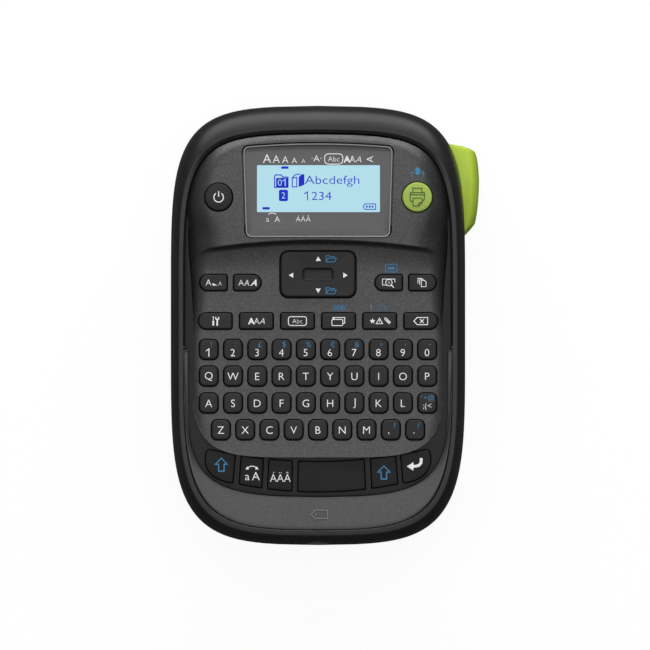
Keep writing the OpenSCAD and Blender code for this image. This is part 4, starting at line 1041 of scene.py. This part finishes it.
# marks printed on the window mask
text, shape, line = onto("casing", 0, 0, display["paneZ"] - 0.78)
for px, size in ((-21.4, 3.9), (-17.5, 3.4), (-13.7, 3.0), (-9.9, 2.4), (-6.1, 1.9)):
    text("A", size, px, 67.9 + size / 2 + 0.2)
text("·A·", 2.9, -0.6, 70.2)
text("Abc", 2.3, 6.6, 69.9)
shape(frameOf(7.6, 4.3, 1.6, 0.35), 6.6, 69.9)
text("A", 2.8, 12.2, 69.8, bold=0.12)
text("A", 2.8, 14.5, 69.8, outlined=0.09)
text("A", 2.8, 16.9, 69.8, slant=0.3)
text("A", 3.0, 21.8, 69.8, turn=90)
text("a", 2.5, -21.2, 44.3)
text("A", 2.6, -17.1, 44.6)
line(arcOf(0, -2.2, 2.6, 50, 130), 0.28, -19.2, 46.8)
text("ÁÄÂ", 2.3, -6.2, 45.0)

# what the display shows: cursors, folder, file, lines of text, battery
showZ = display["glowZ"] + 0.03
text, shape, line = onto("casing", 0, 0, showZ, "segment")
for x, y in ((-13.9, 66.3), (-21.8, 49.2)):
    shape([tablet(0, 0, 3.0, 1.0, 0.1, 0.1)], x, y)
line([(-2.8, -2.6), (2.8, -2.6), (2.8, 1.7), (0.6, 1.7), (0.0, 2.6), (-2.4, 2.6), (-2.8, 2.0)], 0.45, -15.4, 60.6, True)
shape([tablet(0, 0, 5.0, 3.9, 0.5, 0.5)], -15.1, 60.0)
shape([[(-0.2, -2.6), (2.2, -1.6), (2.2, 2.8), (1.0, 2.8), (-0.2, 1.6)]], -7.9, 60.7)
line([(-2.2, -2.4), (-0.3, -2.4), (-0.3, 1.6), (-2.2, 1.2)], 0.4, -8.6, 60.6, True)
line([(-2.2, 1.2), (-0.8, 2.6), (1.2, 2.8)], 0.4, -8.6, 60.8)
shape([tablet(0, 0, 3.8, 4.8, 0.7, 0.7)], -14.5, 54.6)
text("Abcdefgh", 3.7, 5.95, 60.6, wide=1.22)
mark("casing", "segment", figureOne(3.7, -4.6, 54.4, showZ, 0.4))
text("234", 3.7, 1.5, 54.4, wide=1.15)
line([(-2.6, 0), (-1.9, 1.15), (2.6, 1.15), (2.6, -1.15), (-1.9, -1.15)], 0.35, 21.6, 49.9, True)
for k in range(3):
    shape([tablet(0, 0, 0.7, 0.9, 0.1, 0.1)], 20.5 + 1.2 * k, 49.9)
text, shape, line = onto("casing", 0, 0, showZ + 0.07, "glow")
text("0", 2.9, -16.0, 60.0)
mark("casing", "glow", figureOne(2.9, -13.9, 60.0, showZ + 0.07, 0.36))
text("2", 2.8, -14.5, 54.6)

finish["tag"] = inkOf("trimInk", (0.28, 0.28, 0.29))
slotOf = {"white": "key_plastic", "blue": "key_plastic", "darkGreen": "green_plastic", "glow": "display",
          "segment": "display", "tag": "chin"}
for (body, colour), pieces in marks.items():
    deal(joined(pieces, body + "_" + colour + "Marks"), body, finish[colour], slotOf[colour])
print("printed marks made")

# ---------- cutter lever ----------

lever = {"low": 8.8, "high": 30.6, "pivot": (54.0, 36.0), "nose": (48.1, 74.0), "noseR": 2.0, "round": 2.6,
         "outline": [(48.1, 72.0), (54.0, 71.7), (54.0, 66.0), (51.7, 40.5), (50.5, 36.5), (54.0, 32.5), (57.5, 34.0),
                     (61.2, 37.2), (64.2, 40.3), (66.2, 42.9), (67.0, 47.0), (67.6, 52.0), (67.9, 57.0), (68.0, 61.5),
                     (67.7, 66.0), (67.1, 70.6), (66.1, 73.5), (64.0, 74.6), (61.0, 75.6), (54.8, 76.7), (48.1, 76.0)],
         "topRound": ((0.15, 9.0), (0.5, 5.0), (1.1, 2.6), (1.9, 1.2), (2.6, 0.45), (3.0, 0.15)), "crown": 2.4,
         "ribs": 5, "ribZ": 14.5, "ribPitch": 2.6}

def makeLever():
    soft = softened(lever["outline"], 1.0)
    z0, z1 = lever["low"], lever["high"]
    def grow(d):  # only the outer side is drawn in
        return [(x - max(0, (x - 57) / 11) * d, y) for x, y in soft]
    def upper(points, z):  # the top is crowned along Y
        return [(x, y, z - lever["crown"] * (max(0, 62 - y) / 22) ** 2 * min(1, max(0, (x - 57) / 5)))
                for x, y in points]
    rings = [flatRing(inward(grow(3.4), 0.3), z0)]
    for k in range(6):
        a = math.pi / 2 * k / 5
        drawn, up = lever["round"] * (1 - math.sin(a)), lever["round"] * (1 - math.cos(a))
        rings.append(flatRing(grow(drawn + 0.6), z0 + 0.2 + up))
    rings.append(flatRing(grow(0.0), (z0 + z1) / 2))
    for d, drop in lever["topRound"]:
        rings.append(upper(grow(d), z1 - drop) if z1 - drop > 22 else flatRing(grow(d), z1 - drop))
    rings.append(upper(inward(grow(3.4), 0.2), z1))
    piece = loft("cutterLever", rings)
    cutWith(piece, rod("leverNose", (*lever["nose"], z0), (*lever["nose"], z1), lever["noseR"]), "UNION")
    cutWith(piece, rod("leverHub", (*lever["pivot"], z0), (*lever["pivot"], z1), 4.0), "UNION")
    cutWith(piece, rod("leverBore", (*lever["pivot"], 0), (*lever["pivot"], 40), 1.55))
    for k in range(lever["ribs"]):  # finger ribs on the outer face
        z = lever["ribZ"] + k * lever["ribPitch"]
        cutWith(piece, bevelled(box("grip", (66.9, 51, z - 0.35), (72, 66, z + 0.35)), 0.2))
    return smooth(piece, 32)

deal(makeLever(), "lever", finish["lime"], "green_plastic", "cutter_lever")

spring = {"x": (45.2, 52.6), "y": 57.5, "z": 19.0, "radius": 2.4, "wire": 0.3, "turns": 4, "keep": 0.33}

def makeSpring():  # a coil spring for the lever, made at one fixed length
    start, end = spring["x"]
    pitch = (end - start - 2 * spring["wire"]) / spring["turns"]
    bpy.ops.object.select_all(action="DESELECT")
    bpy.ops.mesh.primitive_circle_add(vertices=8, radius=spring["wire"] * mm,
                                      location=((start + spring["wire"]) * mm, spring["y"] * mm, spring["z"] * mm))
    piece = named("leverSpring")
    bpy.ops.object.mode_set(mode="EDIT")
    bpy.ops.mesh.select_all(action="SELECT")
    bpy.ops.transform.translate(value=(0, spring["radius"] * mm, 0))
    bpy.ops.object.mode_set(mode="OBJECT")
    applied(piece, "SCREW", axis="X", angle=2 * math.pi, screw_offset=pitch * mm, iterations=spring["turns"],
            steps=24, render_steps=24)
    bpy.ops.object.mode_set(mode="EDIT")
    bpy.ops.mesh.select_all(action="SELECT")
    bpy.ops.mesh.remove_doubles(threshold=1e-6)
    bpy.ops.mesh.fill_holes(sides=0)
    bpy.ops.object.mode_set(mode="OBJECT")
    return smooth(turnedOut(settle(piece)), 40)

coil = makeSpring()
deal(coil, "casing", finish["steel"], "steel", "lever_spring")
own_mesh(coil)
print("lever and spring made")

# ---------- pieces inside ----------

inside = {
    "frame": ["inner_frame", "nav_pivot"], "mat": ["keypad_mat"], "board": ["main_board", "lcd_module"],
    "steel": ["case_screws", "lever_pin", "lever_spring", "moving_blade", "fixed_blade", "head_arm", "platen_shaft",
              "drive_motor"],
    "cell": ["batteries"], "nickel": ["battery_contacts"], "jack": ["dc_jack"], "carriage": ["blade_carriage"],
    "ceramic": ["print_head"], "rubber": ["platen_rubber"], "brass": ["motor_pinion"],
    "gear": ["platen_gear", "transfer_gear", "reduction_gear", "takeup_gear", "ribbon_takeup_spool",
             "ribbon_supply_spool", "tape_hub"],
    "tape": ["tape_roll", "label_tape"], "cartridge": ["cartridge_case"],
    "shell": ["rear_case", "rear_cover", "front_case"], "panel": ["face_panel"], "chin": ["chin_plate"],
    "mask": ["lcd_window"], "lime": ["cutter_lever"], "green": ["print_key"],
    "key": ["power_key", "nav_pad"] + toolNodes + upperNodes + rowBodies, "bandKey": bandNodes}
for name, nodes in inside.items():
    for node in nodes:
        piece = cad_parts[node]
        piece.data.materials.clear()
        piece.data.materials.append(finish[name])
print("inner pieces finished")

# ---------- floor, light and camera ----------

def floorFinish():
    material = bpy.data.materials.new("paleFloor")
    material.use_nodes = True
    tree = material.node_tree
    shader, out = tree.nodes["Principled BSDF"], tree.nodes["Material Output"]
    shader.inputs["Roughness"].default_value = 0.95
    shader.inputs["Specular IOR Level"].default_value = 0.05
    tone = noiseOn(tree, objectPlace(tree), 3.0, 2.0)
    shade = toneMix(tree, tone, (0.11, 0.11, 0.11), (0.125, 0.125, 0.125))
    tree.links.new(shade, shader.inputs["Base Color"])
    bright = tree.nodes.new("ShaderNodeEmission")
    bright.inputs[0].default_value = (1, 1, 1, 1)
    bright.inputs[1].default_value = 0.93
    both = tree.nodes.new("ShaderNodeAddShader")
    tree.links.new(shader.outputs[0], both.inputs[0])
    tree.links.new(bright.outputs[0], both.inputs[1])
    seen = tree.nodes.new("ShaderNodeMixShader")
    tree.links.new(tree.nodes.new("ShaderNodeLightPath").outputs["Is Camera Ray"], seen.inputs[0])
    tree.links.new(shader.outputs[0], seen.inputs[1])
    tree.links.new(both.outputs[0], seen.inputs[2])
    tree.links.new(seen.outputs[0], out.inputs["Surface"])
    return material

studio = {"floor": 6, "eye": (0.00295, 0.0002, 0.036), "distance": 7.0, "field": 0.2736, "air": 0.08,
          "lamps": [("overheadSoftbox", (0.0, 0.85, 8.0), (8.6, 7.2), 226),
                    ("farSoftbox", (0.0, 1.85, 0.75), (3.4, 1.4), 42),
                    ("leftSoftbox", (-1.5, 0.1, 1.0), (0.8, 1.0), 0.5),
                    ("rightSoftbox", (1.5, 0.1, 1.0), (0.8, 1.0), 0.5),
                    ("lowSoftbox", (0.0, 0.0, -2.2), (3.0, 3.0), 70)]}  # reaches what opens below the floor

def makeStudio():
    scene = bpy.context.scene
    bpy.ops.object.select_all(action="DESELECT")
    bpy.ops.mesh.primitive_plane_add(size=studio["floor"])
    floor = bpy.context.object
    floor.name = "floor"
    floor.data.materials.append(floorFinish())
    for name, place, size, power in studio["lamps"]:
        light = bpy.data.lights.new(name, "AREA")
        light.shape = "RECTANGLE"
        light.size, light.size_y = size
        light.energy = power
        lamp = bpy.data.objects.new(name, light)
        scene.collection.objects.link(lamp)
        lamp.location = place
        lamp.rotation_euler = (-Vector(place)).to_track_quat("-Z", "Y").to_euler()
    world = bpy.data.worlds.new("studio")
    world.use_nodes = True
    world.node_tree.nodes["Background"].inputs[0].default_value = (1, 1, 1, 1)
    world.node_tree.nodes["Background"].inputs[1].default_value = studio["air"]
    scene.world = world
    camera = bpy.data.cameras.new("camera")
    eye = bpy.data.objects.new("camera", camera)
    scene.collection.objects.link(eye)
    x, y, z = studio["eye"]
    eye.location = (x, y, z + studio["distance"])
    camera.lens = camera.sensor_width * studio["distance"] / studio["field"]
    camera.clip_end = 20
    scene.camera = eye
    scene.view_settings.view_transform = "Standard"
    scene.view_settings.look = "None"

makeStudio()
bpy.context.view_layer.update()
